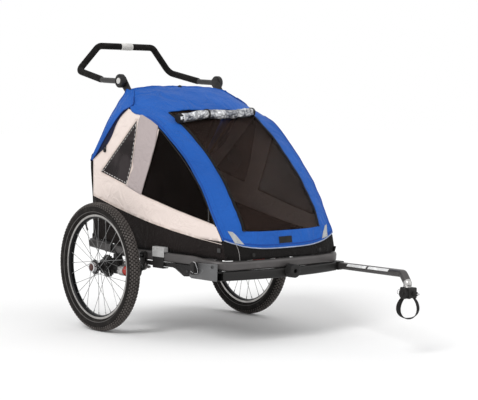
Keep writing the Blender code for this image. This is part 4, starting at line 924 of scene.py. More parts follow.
def pair(name, mesh, finish, body, replaces=(), smooth=35):
    """The left piece and its mirror image; body and replaces are given without their side."""
    made = []
    for side, half in (("left", mesh), ("right", mirrored(mesh))):
        carrier = body if body in frame["bodies"] else body + "_" + side
        made.append(piece(name + "_" + side, half, finish, carrier, on_sides(replaces, side),
                          smooth))
    return made


def settled(ob):
    """The object with its modifiers made part of its mesh."""
    mesh = shown_mesh(ob)
    old = ob.data
    ob.modifiers.clear()
    ob.data = mesh
    mesh.name = ob.name
    bpy.data.meshes.remove(old)
    return ob


def thickened(ob, thick):
    """Cloth given its thickness, inwards from its outer face."""
    wall = ob.modifiers.new("thickness", "SOLIDIFY")
    wall.thickness = thick
    wall.offset = -1.0
    return settled(ob)


def area_of(mesh):
    return sum(face.area for face in mesh.polygons)


def cut_size(mesh):
    layer = mesh.uv_layers["cut"].data
    us = [d.uv.x for d in layer]
    vs = [d.uv.y for d in layer]
    return max(us) - min(us), max(vs) - min(vs)


def flatten(ob):
    """The piece gets a mesh of its own."""
    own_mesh(ob)


def cloth_piece(name, mesh, finish, body, thick, rests_on, replaces=(), fold=None):
    """A sheet of cloth given its thickness, with a mesh of its own where a fold is given.

    The size of its cut is worked out, and scaled where the cloth's area asks for more, or for less
    than its box has, but then left unused.
    """
    ob = piece(name, mesh, finish, body, replaces, 60)
    area = area_of(mesh)
    width, length = cut_size(mesh)
    thickened(ob, thick)
    fill = area / (width * length)
    if fill > 1:
        width, length = width * math.sqrt(fill) * 1.001, length * math.sqrt(fill) * 1.001
    if fill < LEAST_FILL:
        width, length = width * math.sqrt(fill / LEAST_FILL), length * math.sqrt(fill / LEAST_FILL)
    if fold:
        flatten(ob)


def squashed_pair(name, mesh, finish):
    """Left and right trim of the side cloth, each given a mesh of its own."""
    for ob in pair(name, mesh, finish, "chassis", (), 50):
        flatten(ob)


def cloth_pair(name, mesh, finish, thick, rests_on, replaces=()):
    """Left and right side cloth, each passed to cloth_piece with the side fold."""
    for side, half in (("left", mesh), ("right", mirrored(mesh))):
        cloth_piece(name + "_" + side, half, finish, "chassis", thick,
                    on_sides(rests_on, side), on_sides(replaces, side), SIDE_FOLD)


# Geometry Nodes trees


class Tree:
    """A tree of Geometry Nodes that starts with named inputs."""

    def __init__(self, name, inputs):
        self.tree = bpy.data.node_groups.new(name, "GeometryNodeTree")
        for label, kind in (("Geometry", "Geometry"), ("Shape", "Object"), ("Finish", "Material"),
                            *inputs):
            self.tree.interface.new_socket(label, in_out="INPUT", socket_type="NodeSocket" + kind)
        self.tree.interface.new_socket("Geometry", in_out="OUTPUT",
                                       socket_type="NodeSocketGeometry")
        self.given = self.tree.nodes.new("NodeGroupInput").outputs

    def node(self, kind, settings=None, values=None):
        return add_node(self.tree, kind, settings, values).outputs[0]

    def copies(self, points, rotation):
        """Real copies of the shape at the points, with the finish on them, as the tree's result."""
        shape = add_node(self.tree, "GeometryNodeObjectInfo", None, {"Object": self.given["Shape"]})
        placed = self.node("GeometryNodeInstanceOnPoints", None, {
            "Points": points, "Instance": shape.outputs["Geometry"], "Rotation": rotation})
        real = self.node("GeometryNodeRealizeInstances", None, {0: placed})
        finished = self.node("GeometryNodeSetMaterial", None,
                             {"Geometry": real, "Material": self.given["Finish"]})
        add_node(self.tree, "NodeGroupOutput", None, {0: finished})
        return self.tree


def ring_tree():
    """Copies of one shape turned about the Y axis, from a first angle."""
    tree = Tree("ring_of_copies", [("Count", "Int"), ("First angle", "Float")])
    points = tree.node("GeometryNodePoints", None, {"Count": tree.given["Count"]})
    index = tree.node("GeometryNodeInputIndex")
    share = tree.node("ShaderNodeMath", {"operation": "DIVIDE"}, {0: index, 1: tree.given["Count"]})
    angle = tree.node("ShaderNodeMath", {"operation": "MULTIPLY_ADD"},
                      {0: share, 1: -math.tau, 2: tree.given["First angle"]})
    turn = tree.node("ShaderNodeCombineXYZ", None, {"Y": angle})
    return tree.copies(points, tree.node("FunctionNodeEulerToRotation", None, {0: turn}))


def row_tree():
    """Copies of one shape along lines: X follows the line and Z the direction kept in 'facing'."""
    tree = Tree("row_of_copies", [("Spacing", "Float")])
    curve = tree.node("GeometryNodeMeshToCurve", None, {0: tree.given["Geometry"]})
    even = tree.node("GeometryNodeResampleCurve", {"mode": "LENGTH"},
                     {"Curve": curve, "Length": tree.given["Spacing"]})
    tangent = tree.node("GeometryNodeInputTangent")
    facing = tree.node("GeometryNodeInputNamedAttribute", {"data_type": "FLOAT_VECTOR"},
                       {"Name": "facing"})
    along = tree.node("FunctionNodeAlignRotationToVector", {"axis": "X", "pivot_axis": "AUTO"},
                      {"Vector": tangent})
    up = tree.node("FunctionNodeAlignRotationToVector", {"axis": "Z", "pivot_axis": "X"},
                   {"Rotation": along, "Vector": facing})
    return tree.copies(even, up)


RING_TREE = ring_tree()
ROW_TREE = row_tree()


def grown(base, tree, shape, inputs):
    """The mesh that a tree makes from a base mesh and a shape, with its inputs set by name."""
    carrier = linked("shape", shape)
    ob = linked("grown", base)
    step = ob.modifiers.new("tree", "NODES")
    step.node_group = tree
    named = {item.name: item.identifier
             for item in tree.interface.items_tree if item.in_out == "INPUT"}
    for label, value in {"Shape": carrier, **inputs}.items():
        step[named[label]] = value
    mesh = shown_mesh(ob)
    for used in (ob, carrier):
        bpy.data.objects.remove(used, do_unlink=True)
    return mesh


def ring_of(shape, count, first_angle, finish):
    """Copies of a shape about the wheel axis; the shape is written from the wheel's centre."""
    seed = bpy.data.meshes.new("seed")
    return grown(seed, RING_TREE, shape, {"Count": count, "First angle": first_angle,
                                          "Finish": finish})


def row_of(shape, lines, spacing, finish):
    """Copies of a shape along lines of (point, facing)."""
    points = []
    facings = []
    edges = []
    for line in lines:
        for k, (point, facing) in enumerate(line):
            if k:
                edges.append((len(points) - 1, len(points)))
            points.append(tuple(point))
            facings.append(tuple(facing))
    base = bpy.data.meshes.new("lines")
    base.from_pydata(points, edges, [])
    attribute = base.attributes.new("facing", "FLOAT_VECTOR", "POINT")
    attribute.data.foreach_set("vector", [c for f in facings for c in f])
    return grown(base, ROW_TREE, shape, {"Spacing": spacing, "Finish": finish})


def stitches(lines, thread, spacing=STITCH):
    """Plain stitches along lines."""
    return row_of(stitch_shape(), lines, spacing, thread)


def stitch_shape(length=0.0026, width=0.0007, height=0.0006):
    """One stitch: a small rounded bar lying along X."""
    rings = []
    for x, size in ((-0.5, 0.35), (-0.30, 1.0), (0.30, 1.0), (0.5, 0.35)):
        rings.append([Vector((x * length, width / 2 * size * math.cos(t),
                              height * 0.2 + height / 2 * size * math.sin(t))) for t in turns(6)])
    return skin(rings)


def tooth_shape():
    """One zip tooth lying across the line."""
    return solid(*block_faces((0.0008, 0.0022, 0.0009), (0, 0, 0.0006)))


def block_faces(half, centre=(0, 0, 0), shrink=0.78):
    """Points and faces of a block whose top is a little smaller than its foot."""
    points = []
    for z, s in ((-1, 1.0), (1, shrink)):
        for x, y in ((-1, -1), (1, -1), (1, 1), (-1, 1)):
            points.append((centre[0] + half[0] * x * s, centre[1] + half[1] * y * s,
                           centre[2] + half[2] * z))
    faces = [(3, 2, 1, 0), (4, 5, 6, 7), (0, 1, 5, 4), (1, 2, 6, 5), (2, 3, 7, 6), (3, 0, 4, 7)]
    return points, faces


# Surfaces


def station(rows, s):
    """A row between the stations, on a smooth curve through them."""
    i = max(0, min(int(s), len(rows) - 2))
    t = s - i
    picks = [rows[max(0, i - 1)], rows[i], rows[i + 1], rows[min(len(rows) - 1, i + 2)]]
    return [catmull(*column, t) for column in zip(*picks)]


def cover_point(s, v):
    """The cover's outer surface: s counts stations, v runs from -1 to 1 across."""
    row = station(COVER, s)
    rise = 1 - abs(v) ** COVER_POWER
    return Vector((row[0] + (row[3] - row[0]) * rise, row[1] * v,
                   row[2] + (row[4] - row[2]) * rise))


def rear_point(s, v):
    """The rear panel's outer surface."""
    row = station(REAR_PANEL, s)
    return Vector((row[0] - REAR_BULGE * (1 - v * v), row[1] * v, row[2]))


def normal_at(surface, s, v, last):
    step = 0.03
    along = surface(min(s + step, last), v) - surface(max(s - step, 0), v)
    across = surface(s, min(v + step, 1)) - surface(s, max(v - step, -1))
    return along.cross(across).normalized()


def cover_normal(s, v):
    return normal_at(cover_point, s, v, COVER_LAST)


def ease(low, high, x):
    """0 below low, 1 above high, smooth between."""
    t = max(0.0, min(1.0, (x - low) / (high - low)))
    return t * t * (3 - 2 * t)


def cover_fold(s, v):
    """How far the cover's cloth stands out: soft unevenness, and folds on the lower front."""
    broad = noise.noise(Vector((s * 0.85, v * 2.4, 3.1))) * 0.0026
    fine = noise.noise(Vector((s * 2.6, v * 5.5, 8.4))) * 0.0018
    fine += noise.noise(Vector((s * 1.1 + v * 9, v * 16 - s * 1.6, 4.4))) * 0.0017
    low = ease(9.2, 9.55, s)
    folds = noise.noise(Vector((s * 0.7 + v * 2.0, v * 8.5, 5.2))) * 0.0042 * low
    roof = (1 - ease(0.6, 2.4, s)) * noise.noise(Vector((s * 1.9 - v, v * 3.2, 1.7))) * 0.0052
    return max(-0.0006, 0.0012 + broad + fine + folds + roof)


def cover_cloth(s, v):
    return cover_point(s, v) + cover_normal(s, v) * cover_fold(s, v)


def spread(low, high, steps):
    return [low + (high - low) * k / steps for k in range(steps + 1)]


COVER_ROWS = (spread(0, WINDOW_TOP, 26) + spread(WINDOW_TOP, WINDOW_FOOT, 56)[1:]
              + spread(WINDOW_FOOT, HEM, 12)[1:])
COVER_COLUMNS = (spread(-1, -WINDOW_SHARE, 14) + spread(-WINDOW_SHARE, WINDOW_SHARE, 54)[1:]
                 + spread(WINDOW_SHARE, 1, 14)[1:])


def quads(rows, columns):
    """Faces of an open grid of points, row by row."""
    return [(a, a + 1, a + columns + 1, a + columns)
            for i in range(rows - 1) for a in range(i * columns, (i + 1) * columns - 1)]


def grid_cloth(surface, rows, columns, hole=None, lip=None):
    """One layer of cloth on a grid, with its cut in metres."""
    grid = []
    for s in rows:
        line = [surface(s, v) for v in columns]
        if lip:
            line = lip(s, line, -1)[::-1] + line + lip(s, line, 1)
        grid.append(line)
    count = len(grid[0])
    extra = (count - len(columns)) // 2
    cut_u = []
    for line in grid:
        run = distances(line)
        middle = run[len(run) // 2]
        cut_u.append([r - middle for r in run])
    cut_v = distances([line[count // 2] for line in grid])
    faces = []
    for i in range(len(rows) - 1):
        for j in range(count - 1):
            inside = extra <= j < count - 1 - extra
            if hole and inside and hole((rows[i] + rows[i + 1]) / 2,
                                        (columns[j - extra] + columns[j - extra + 1]) / 2):
                continue
            a = i * count + j
            faces.append((a, a + count, a + count + 1, a + 1))
    used = sorted({p for face in faces for p in face})
    order = {p: k for k, p in enumerate(used)}
    points = [p for line in grid for p in line]
    mesh = open_mesh("cloth", [points[p] for p in used],
                     [tuple(order[p] for p in face) for face in faces])
    lay_out(mesh, lambda k: (cut_u[used[k] // count][used[k] % count], cut_v[used[k] // count]))
    return mesh


def cover_lip(s, line, side):
    """The cover's edge rolling in towards the side cloth."""
    edge = line[0] if side < 0 else line[-1]
    inward = cover_normal(s, side * 0.5)
    inward = Vector((inward.x, 0, inward.z)).normalized() * -1
    outward = Vector((0, side, 0))
    return [edge + inward * 0.0025 + outward * 0.0012, edge + inward * 0.0065 + outward * 0.0011,
            edge + inward * 0.0110 - outward * 0.0010]


def side_y(x):
    return SIDE_Y - max(0.0, x - SIDE_TAPER_X) * SIDE_TAPER


def closed(loop):
    return loop + loop[:1]


def inside_loop(x, z, loop):
    hit = False
    for (x0, z0), (x1, z1) in zip(loop, closed(loop)[1:]):
        if (z0 > z) != (z1 > z) and x < (x1 - x0) * (z - z0) / (z1 - z0) + x0:
            hit = not hit
    return hit


def distance_to_loop(x, z, loop):
    best = 1e9
    for (x0, z0), (x1, z1) in zip(loop, closed(loop)[1:]):
        dx, dz = x1 - x0, z1 - z0
        t = max(0.0, min(1.0, ((x - x0) * dx + (z - z0) * dz) / max(dx * dx + dz * dz, 1e-12)))
        best = min(best, math.hypot(x - x0 - dx * t, z - z0 - dz * t))
    return best


def dense(loop, spacing):
    """A closed outline with its edges cut at the spacing."""
    points = []
    for (x0, z0), (x1, z1) in zip(loop, closed(loop)[1:]):
        steps = max(1, round(math.hypot(x1 - x0, z1 - z0) / spacing))
        points += [(x0 + (x1 - x0) * k / steps, z0 + (z1 - z0) * k / steps) for k in range(steps)]
    return points


def flat_cut(outline, holes, spacing, out):
    """Cloth cut to an outline in X and Z, in even triangles; out gives its Y at each place."""
    loops = [dense(loop, spacing) for loop in [outline, *holes]]

    def in_cloth(x, z):
        return inside_loop(x, z, loops[0]) and not any(inside_loop(x, z, h) for h in loops[1:])

    points = []
    edges = []
    for loop in loops:
        first = len(points)
        points += loop
        edges += [(first + k, first + (k + 1) % len(loop)) for k in range(len(loop))]
    xs = [p[0] for p in loops[0]]
    zs = [p[1] for p in loops[0]]
    row = 0
    z = min(zs) + spacing * 0.5
    while z < max(zs):
        x = min(xs) + spacing * (0.5 if row % 2 else 1.0)
        while x < max(xs):
            if in_cloth(x, z) and min(distance_to_loop(x, z, loop)
                                      for loop in loops) > spacing * 0.55:
                points.append((x, z))
            x += spacing
        z += spacing * 0.87
        row += 1
    found, _, triangles, *_ = delaunay_2d_cdt([Vector(p) for p in points], edges, [], 0, 1e-7)
    faces = []
    for a, b, c in triangles:
        x = (found[a].x + found[b].x + found[c].x) / 3
        z = (found[a].y + found[b].y + found[c].y) / 3
        if in_cloth(x, z):
            faces.append((a, c, b))
    mesh = open_mesh("cloth", [(p.x, out(p.x, p.y), p.y) for p in found], faces)
    lay_out(mesh, lambda k: (found[k].x, found[k].y))
    work = bmesh.new()
    work.from_mesh(mesh)
    bmesh.ops.delete(work, geom=[v for v in work.verts if not v.link_faces], context="VERTS")
    if work.faces and sum(f.normal.y * f.calc_area() for f in work.faces) < 0:
        bmesh.ops.reverse_faces(work, faces=work.faces)
    work.to_mesh(mesh)
    work.free()
    return mesh


def cover_edge(s):
    """The cover's edge in side view, X and Z."""
    row = station(COVER, s)
    return row[0], row[2]


def under_edge(depth, first=1.0, last=10.0, steps=40):
    """A line that far inside the cover's edge, in side view, from the roof down."""
    line = []
    for s in spread(first, last, steps):
        a = cover_edge(max(first, s - 0.1))
        b = cover_edge(min(last, s + 0.1))
        length = math.hypot(b[0] - a[0], b[1] - a[1])
        x, z = cover_edge(s)
        line.append((x - depth * -(b[1] - a[1]) / length, z - depth * (b[0] - a[0]) / length))
    return line


# Wheels


def about_wheel(mesh):
    """A mesh written from the wheel's centre, moved to the left wheel."""
    mesh.transform(Matrix.Translation(WHEEL_CENTRE))
    return mesh


def tread_block(place, lean, half_long, half_wide, height):
    """One block of tread at the tyre's front, leaning towards its shoulder."""
    out = Vector((math.cos(lean), math.sin(lean), 0))
    across = Vector((-out.y, out.x, 0))
    points = []
    for level, size in ((-0.4, 1.0), (1, 0.80)):
        for a, b in ((-1, -1), (1, -1), (1, 1), (-1, 1)):
            points.append(place + out * height * level + across * half_wide * a * size
                          + UP * half_long * b * size)
    return solid(points, block_faces((1, 1, 1))[1])


def make_tyre():
    half = [(0.2033, 0.0117), (0.2050, 0.0142), (0.2085, 0.0178), (0.2130, 0.0212),
            (0.2185, 0.0234), (0.2240, 0.0240), (0.2300, 0.0236), (0.2350, 0.0222),
            (0.2395, 0.0196), (0.2430, 0.0158), (0.2455, 0.0108), (0.2470, 0.0055)]
    inner = [(0.2070, 0.0120), (0.2180, 0.0185), (0.2300, 0.0180), (0.2410, 0.0100)]
    profile = half + [(0.2476, 0)] + other_half(half)
    profile += other_half(inner[::-1]) + [(0.2440, 0)] + inner[::-1]
    carcass = turned(profile, WHEEL_CENTRE, ALONG_Y, 144, ring=True)
    # Rows of blocks: radius, Y, lean in degrees, half length, half width, height, shift in blocks
    rows = [(0.2474, 0.0, 0, 0.0050, 0.0040, 0.0022, 0.0),
            (0.2462, 0.0092, 14, 0.0050, 0.0034, 0.0022, 0.5),
            (0.2422, 0.0165, 38, 0.0046, 0.0034, 0.0022, 0.0),
            (0.2366, 0.0213, 62, 0.0036, 0.0026, 0.0014, 0.5)]
    blocks = []
    for radius, y, lean, half_long, half_wide, height, shift in rows:
        for side in (1, -1) if y else (1,):
            shape = tread_block(Vector((radius, y * side, 0)), math.radians(lean * side), half_long,
                                half_wide, height)
            blocks.append(ring_of(shape, TREAD_BLOCKS, -shift * math.tau / TREAD_BLOCKS, TYRE))
    return carcass, about_wheel(joined(*blocks))


def make_rim():
    half = [(0.1885, 0.0030), (0.1892, 0.0066), (0.1912, 0.0094), (0.1938, 0.0116),
            (0.1952, 0.0119), (0.1990, 0.0120), (0.2012, 0.0124), (0.2028, 0.0126),
            (0.2034, 0.0116), (0.2026, 0.0104), (0.1990, 0.0098), (0.1978, 0.0070)]
    return turned(half + other_half(half), WHEEL_CENTRE, ALONG_Y, 128, ring=True)


def make_spoke(flange_y, rim_y, lead):
    """A bent spoke with its nipple, from the hole in front of the hub to the rim."""
    swing = 2 * math.tau / SPOKES_PER_FLANGE * lead
    reach = RIM_BED + 0.0004
    head = Vector((HOLE_RADIUS, flange_y, 0))
    foot = Vector((reach * math.cos(swing), rim_y, reach * math.sin(swing)))
    start = head + ALONG_Y * 0.0022 * lead
    run = (foot - start).normalized()
    line = [head - ALONG_Y * 0.0024 * lead, head + ALONG_Y * 0.0010 * lead, start + run * 0.0024,
            start + run * 0.030, foot]
    wire = sweep(line, circle(0.0010, 8), side=UP)
    nipple = turned([(0.0013, 0), (0.0019, 0.0014), (0.0019, 0.0125)], foot - run * 0.0125, run, 10)
    cap = turned([(0.0012, 0), (0.0020, 0.0007), (0.0020, 0.0014)], head - ALONG_Y * 0.0028 * lead,
                 ALONG_Y * lead, 10)
    return joined(wire, nipple, cap)


def make_lacing():
    pitch = math.tau / SPOKES_PER_FLANGE
    sets = []
    for flange, rim_y, start in ((FLANGE_IN, -0.002, 0), (FLANGE_OUT, 0.002, 0.5)):
        for first, lead in ((0, -1), (1, 1)):
            shape = make_spoke(flange - WHEEL_Y, rim_y, lead)
            sets.append(ring_of(shape, SPOKES_PER_FLANGE // 2, -(first + start) * pitch, STEEL))
    return about_wheel(joined(*sets))


def flange(y, web=0.00125, edge=0.0006):
    """A hub flange's rim in profile."""
    return [(FLANGE_RADIUS - edge, y - web), (FLANGE_RADIUS, y - web + edge),
            (FLANGE_RADIUS, y + web - edge), (FLANGE_RADIUS - edge, y + web)]


def make_hub():
    profile = [(0.0225, RING_OUT + GAP), (0.0232, RING_OUT + 0.0012), (0.0185, FLANGE_IN - 0.0058),
               (0.0180, FLANGE_IN - 0.00125), *flange(FLANGE_IN), (0.0190, FLANGE_IN + 0.0022),
               (0.0165, FLANGE_IN + 0.0050), (0.0160, WHEEL_Y), (0.0165, FLANGE_OUT - 0.0050),
               (0.0190, FLANGE_OUT - 0.0022), *flange(FLANGE_OUT), (0.0198, FLANGE_OUT + 0.0030),
               (0.0198, HUB_CAP_Y - 0.0060), (0.0103, HUB_CAP_Y - 0.0060),
               (0.0103, HUB_CAP_Y - 0.0160)]
    return turned(profile, AXLE, ALONG_Y, 64)


def make_hub_cap():
    profile = [(0.0198, FLANGE_OUT + 0.0028), (0.0207, FLANGE_OUT + 0.0034),
               (0.0207, HUB_CAP_Y - 0.0032), (0.0198, HUB_CAP_Y - 0.0008), (0.0185, HUB_CAP_Y),
               (0.0145, HUB_CAP_Y), (0.0142, HUB_CAP_Y - 0.0014), (0.0103, HUB_CAP_Y - 0.0016),
               (0.0103, HUB_CAP_Y - 0.0080)]
    notches = rods_round(0, WHEEL_RADIUS, 0.0210, turns(20), HUB_CAP_Y - 0.0070, HUB_CAP_Y + 0.002,
                         0.0011, 10)
    return cut(turned(profile, AXLE, ALONG_Y, 64), *notches)


def make_brake_ring():
    outline = []
    for k in range(RING_TEETH):
        tooth = math.tau * (k + 0.5) / RING_TEETH
        for radius, share in ((0.0380, -0.27), (0.0436, -0.21), (0.0440, -0.16), (0.0440, 0.16),
                              (0.0436, 0.21), (0.0380, 0.27)):
            turn = tooth + share * math.tau / RING_TEETH
            outline.append((radius * math.cos(turn), WHEEL_RADIUS + radius * math.sin(turn)))
    ring = prism(outline, 0.3290, RING_OUT)
    corners = [math.pi / 4 + k * math.pi / 2 for k in range(4)]
    holes = rods_round(0, WHEEL_RADIUS, 0.0285, corners, 0.32, 0.35, 0.0060, 24)
    barrel = turned([(0.0058, ARM_IN - 0.028), (0.0058, ARM_OUT + 0.0008),
                     (0.0200, ARM_OUT + 0.0008), (0.0200, RING_OUT - 0.001)], AXLE, ALONG_Y, 40)
    return bevelled(unite(cut(ring, *holes), barrel), 0.0004, 50, 1)


def dress_wheels():
    carcass, blocks = make_tyre()
    pair("tyre_carcass", carcass, TYRE, "wheel", ("tyre",))
    # The tread blocks wear the paler rubber, a painted highlight.
    pair("tread", blocks, TREAD_HIGHLIGHT_RUBBER, "wheel")
    pair("rim_band", make_rim(), RIM, "wheel", ("rim",))
    pair("lacing", make_lacing(), SPOKE_WIRE, "wheel", ("hub_spokes",))
    pair("hub", make_hub(), BLACK_METAL, "wheel", smooth=30)
    pair("hub_cap", make_hub_cap(), STEEL, "wheel", smooth=30)
    seal = turned([(0.0102, HUB_CAP_Y - 0.0018), (0.0102, HUB_CAP_Y - 0.0002),
                   (0.0141, HUB_CAP_Y - 0.0002), (0.0141, HUB_CAP_Y - 0.0018)], AXLE, ALONG_Y, 48,
                  ring=True)
    pair("hub_seal", seal, DARK_RED, "wheel")
    pair("toothed_ring", make_brake_ring(), BLACK_METAL, "wheel", ("brake_ring",))
    button = turned([(0.0097, HUB_CAP_Y - 0.0040), (0.0097, HUB_CAP_Y + 0.0004),
                     (0.0088, HUB_CAP_Y + 0.0014), (0.0060, HUB_CAP_Y + 0.0018)], AXLE, ALONG_Y, 48)
    pair("release_button", button, DARK_RED, "axle_release", ("axle_button",))
    turn = math.radians(119.6)
    out = Vector((math.cos(turn), 0, math.sin(turn)))
    valve = turned([(0.0042, 0), (0.0042, 0.003), (0.0030, 0.004), (0.0030, 0.020),
                    (0.0037, 0.0205), (0.0037, 0.031), (0.0030, 0.0325)],
                   Vector(WHEEL_CENTRE) + out * 0.1895, -out, 20)
    pair("valve", valve, SOFT_BLACK, "wheel")


# Frame


def bar_box(x, y, z, edge=0.0015):
    return bevelled(box(x, y, z), edge)


def make_floor_frame():
    corners = [(-0.156, FRAME_Y, 0.3295, 0), (0.060, FRAME_Y, FRAME_LOW_Z, 0.15),
               (0.500, FRAME_Y, FRAME_LOW_Z, 0.30), (0.638, FRAME_Y, FRAME_FRONT_Z, 0.075),
               (0.676, 0, FRAME_FRONT_Z, 0.90)]
    tube = sweep(route(both_sides(corners)), round_box(TUBE_WIDTH, TUBE_HEIGHT, 0.0105, 6))
    ear = bevelled(prism(hull_of_circles([(0.600, 0.345, 0.013), (0.600, 0.308, 0.013)]), 0.262,
                         0.267), 0.001)
    lug = bar_box((0.588, 0.612), (0.262, FRAME_INNER + 0.004), (0.297, 0.315))
    pin = rod((0.600, 0.245, 0.345), (0.600, 0.263, 0.345), 0.005)
    eyelet = prism(hull_of_circles([(-0.137, 0.360, 0.010), (-0.137, 0.340, 0.010)]),
                   FRAME_Y - 0.002, FRAME_Y + 0.002)
    eyelet = bevelled(cut(eyelet, rod((-0.137, 0.29, 0.360), (-0.137, 0.32, 0.360), 0.005)), 0.0006)
    fittings = [ear, lug, pin, eyelet]
    return joined(tube, *fittings, *[mirrored(m) for m in fittings])


def make_travel_stop():
    """Flat strap bent to a U on the frame's outer face, over the axle."""
    line = route([(-0.011, 0.3145, 0.3340, 0), (-0.011, 0.3262, 0.3340, 0.004),
                  (-0.011, 0.3262, 0.3045, 0.004), (-0.011, 0.3150, 0.3045, 0)])
    return bevelled(sweep(line, [(0.019, -0.0012), (0.019, 0.0012), (-0.019, 0.0012),
                                 (-0.019, -0.0012)], side=ALONG_X), 0.0004, 50, 1)


def make_front_beam():
    crown, half_width = 0.672, 0.2800
    rise = crown - 0.630
    radius = (half_width ** 2 + rise ** 2) / (2 * rise)
    reach = math.asin(half_width / radius)
    line = []
    for k in range(33):
        turn = reach * (1 - k / 16)
        line.append(Vector((crown - radius * (1 - math.cos(turn)), radius * math.sin(turn),
                            0.2613)))
    return sweep(line, round_box(0.024, 0.0346, 0.007, 6), side=ALONG_X)


def make_receiver():
    half = RECEIVER_HALF
    block = bar_box((0.500, 0.648), (BAR_Y - half - 0.0028, 0.3152), (RECEIVER_LOW, 0.2780), 0.0012)
    bore = box((0.530, 0.700), (BAR_Y - half, BAR_Y + half), (BAR_Z - half, BAR_Z + half))
    return cut(block, bore)


def make_receiver_plate(tall):
    low = RECEIVER_LOW
    outline = [(0.4935, 0.2520), (0.505, low), (0.648, low), (0.651, 0.3095), (0.540, 0.3045),
               (0.500, 0.2800)]
    if not tall:
        outline = [(0.4935, 0.2520), (0.505, low), (0.644, low), (0.644, 0.2782), (0.500, 0.2782)]
    plate = bevelled(prism(rounded(outline, 0.003), 0.3153, PLATE_OUT), 0.0008)
    hole = rod((KNOB_X, 0.30, 0.270), (KNOB_X, 0.33, 0.270), 0.0039)
    line = box((0.546, 0.640), (PLATE_OUT - 0.0007, PLATE_OUT + 0.01), (0.2985, 0.3000))
    return cut(plate, hole, line)


def bolt(place, axis, radius=0.0055, height=0.0036, sides=6):
    """A six-sided head with a washer under it."""
    place = Vector(place)
    axis = Vector(axis)
    washer = turned([(radius * 1.45, 0), (radius * 1.45, 0.0008), (radius * 1.38, 0.0011)], place,
                    axis, 28)
    head = turned([(radius * 1.12, 0.0011), (radius * 1.12, height),
                   (radius * 0.86, height + 0.0008)], place, axis, sides)
    return joined(washer, head)


def round_bolt(place, axis, radius=0.0062, height=0.0032):
    """A domed head with a six-sided recess."""
    place = Vector(place)
    axis = Vector(axis)
    dome = turned([(radius, 0), (radius, height * 0.35), (radius * 0.90, height * 0.72),
                   (radius * 0.62, height * 0.96), (radius * 0.45, height)], place, axis, 32)
    recess = turned([(radius * 0.40, height * 0.45), (radius * 0.40, height * 1.6)], place, axis, 6)
    return cut(dome, recess)


def make_lock_knob():
    face = PLATE_OUT + GAP
    outline = rounded([(KNOB_X - 0.013, 0.2635), (KNOB_X + 0.013, 0.2635), (KNOB_X + 0.010, 0.3085),
                       (KNOB_X - 0.010, 0.3085)], 0.0095, math.radians(10))
    head = bevelled(prism(outline, face, face + 0.022), 0.0028, 40, 3)
    pin = rod((KNOB_X, BAR_Y + 0.006, 0.270), (KNOB_X, face + 0.001, 0.270), 0.0035)
    waist = [box((KNOB_X - 0.02, KNOB_X + 0.02),
                 (face + 0.0075 + k * 0.004, face + 0.009 + k * 0.004), (0.2995, 0.3130))
             for k in range(3)]
    return unite(cut(head, *waist), pin)


def make_knob_wire():
    """The knob's bright wire bail."""
    y = PLATE_OUT + 0.0050
    line = route([(KNOB_X + 0.0135, y, 0.2700, 0), (KNOB_X + 0.0165, y + 0.004, 0.2850, 0.004),
                  (KNOB_X + 0.0120, y + 0.010, 0.3075, 0.004),
                  (KNOB_X + 0.0060, y + 0.0155, 0.3110, 0)])
    low = route([(KNOB_X + 0.0135, y, 0.2680, 0), (KNOB_X + 0.0100, y + 0.016, 0.2700, 0.004),
                 (KNOB_X - 0.0060, y + 0.0165, 0.2760, 0)])
    return joined(sweep(line, circle(0.0015, 10), side=ALONG_X),
                  sweep(low, circle(0.0015, 10), side=UP))


def make_pivot_bracket():
    x, z = PIVOT
    inner = (PLATE_OUT - 0.0038, ARM_IN - RUNNING_GAP)
    outer = (ARM_OUT + RUNNING_GAP, ARM_OUT + 0.0055)
    outline = hull_of_circles([(x, z, 0.014), (x, 0.312, 0.013)])
    fork = [bevelled(prism(outline, *inner), 0.0009), bevelled(prism(outline, *outer), 0.0009)]
    block = bar_box((x - 0.013, x + 0.013), (inner[0], outer[1]), (0.300, 0.320))
    pad = turned([(0.0175, 0), (0.0190, 0.0012), (0.0190, 0.0050), (0.0175, 0.006)],
                 (0.1865, CUP_Y, CUP_Z), ALONG_X, 40)
    brace = bevelled(prism([(0.1915, 0.236), (0.1965, 0.231), (x + 0.006, 0.256),
                            (x - 0.010, 0.268), (0.1915, 0.2590)], *outer), 0.0007, 50, 1)
    return joined(*fork, block, pad, brace)


def make_leaf_spring():
    leaf = bevelled(sweep([Vector((0.197, 0.3018, 0.2795)), Vector((0.405, 0.3018, 0.2825))],
                          round_box(0.0155, 0.0160, 0.003, 4)), 0.0008)
    clamp = prism([(0.392, 0.2735), (0.400, 0.2735), (0.455, 0.2480), (0.4925, 0.2510),
                   (0.4925, 0.2908), (0.392, 0.2908)], FRAME_INNER + 0.001, FRAME_OUTER - 0.0005)
    pocket = prism(rounded([(0.408, 0.2785), (0.452, 0.2610), (0.452, 0.2850), (0.408, 0.2850)],
                           0.003), 0.3125, 0.330)
    return joined(leaf, bevelled(cut(clamp, pocket), 0.001))


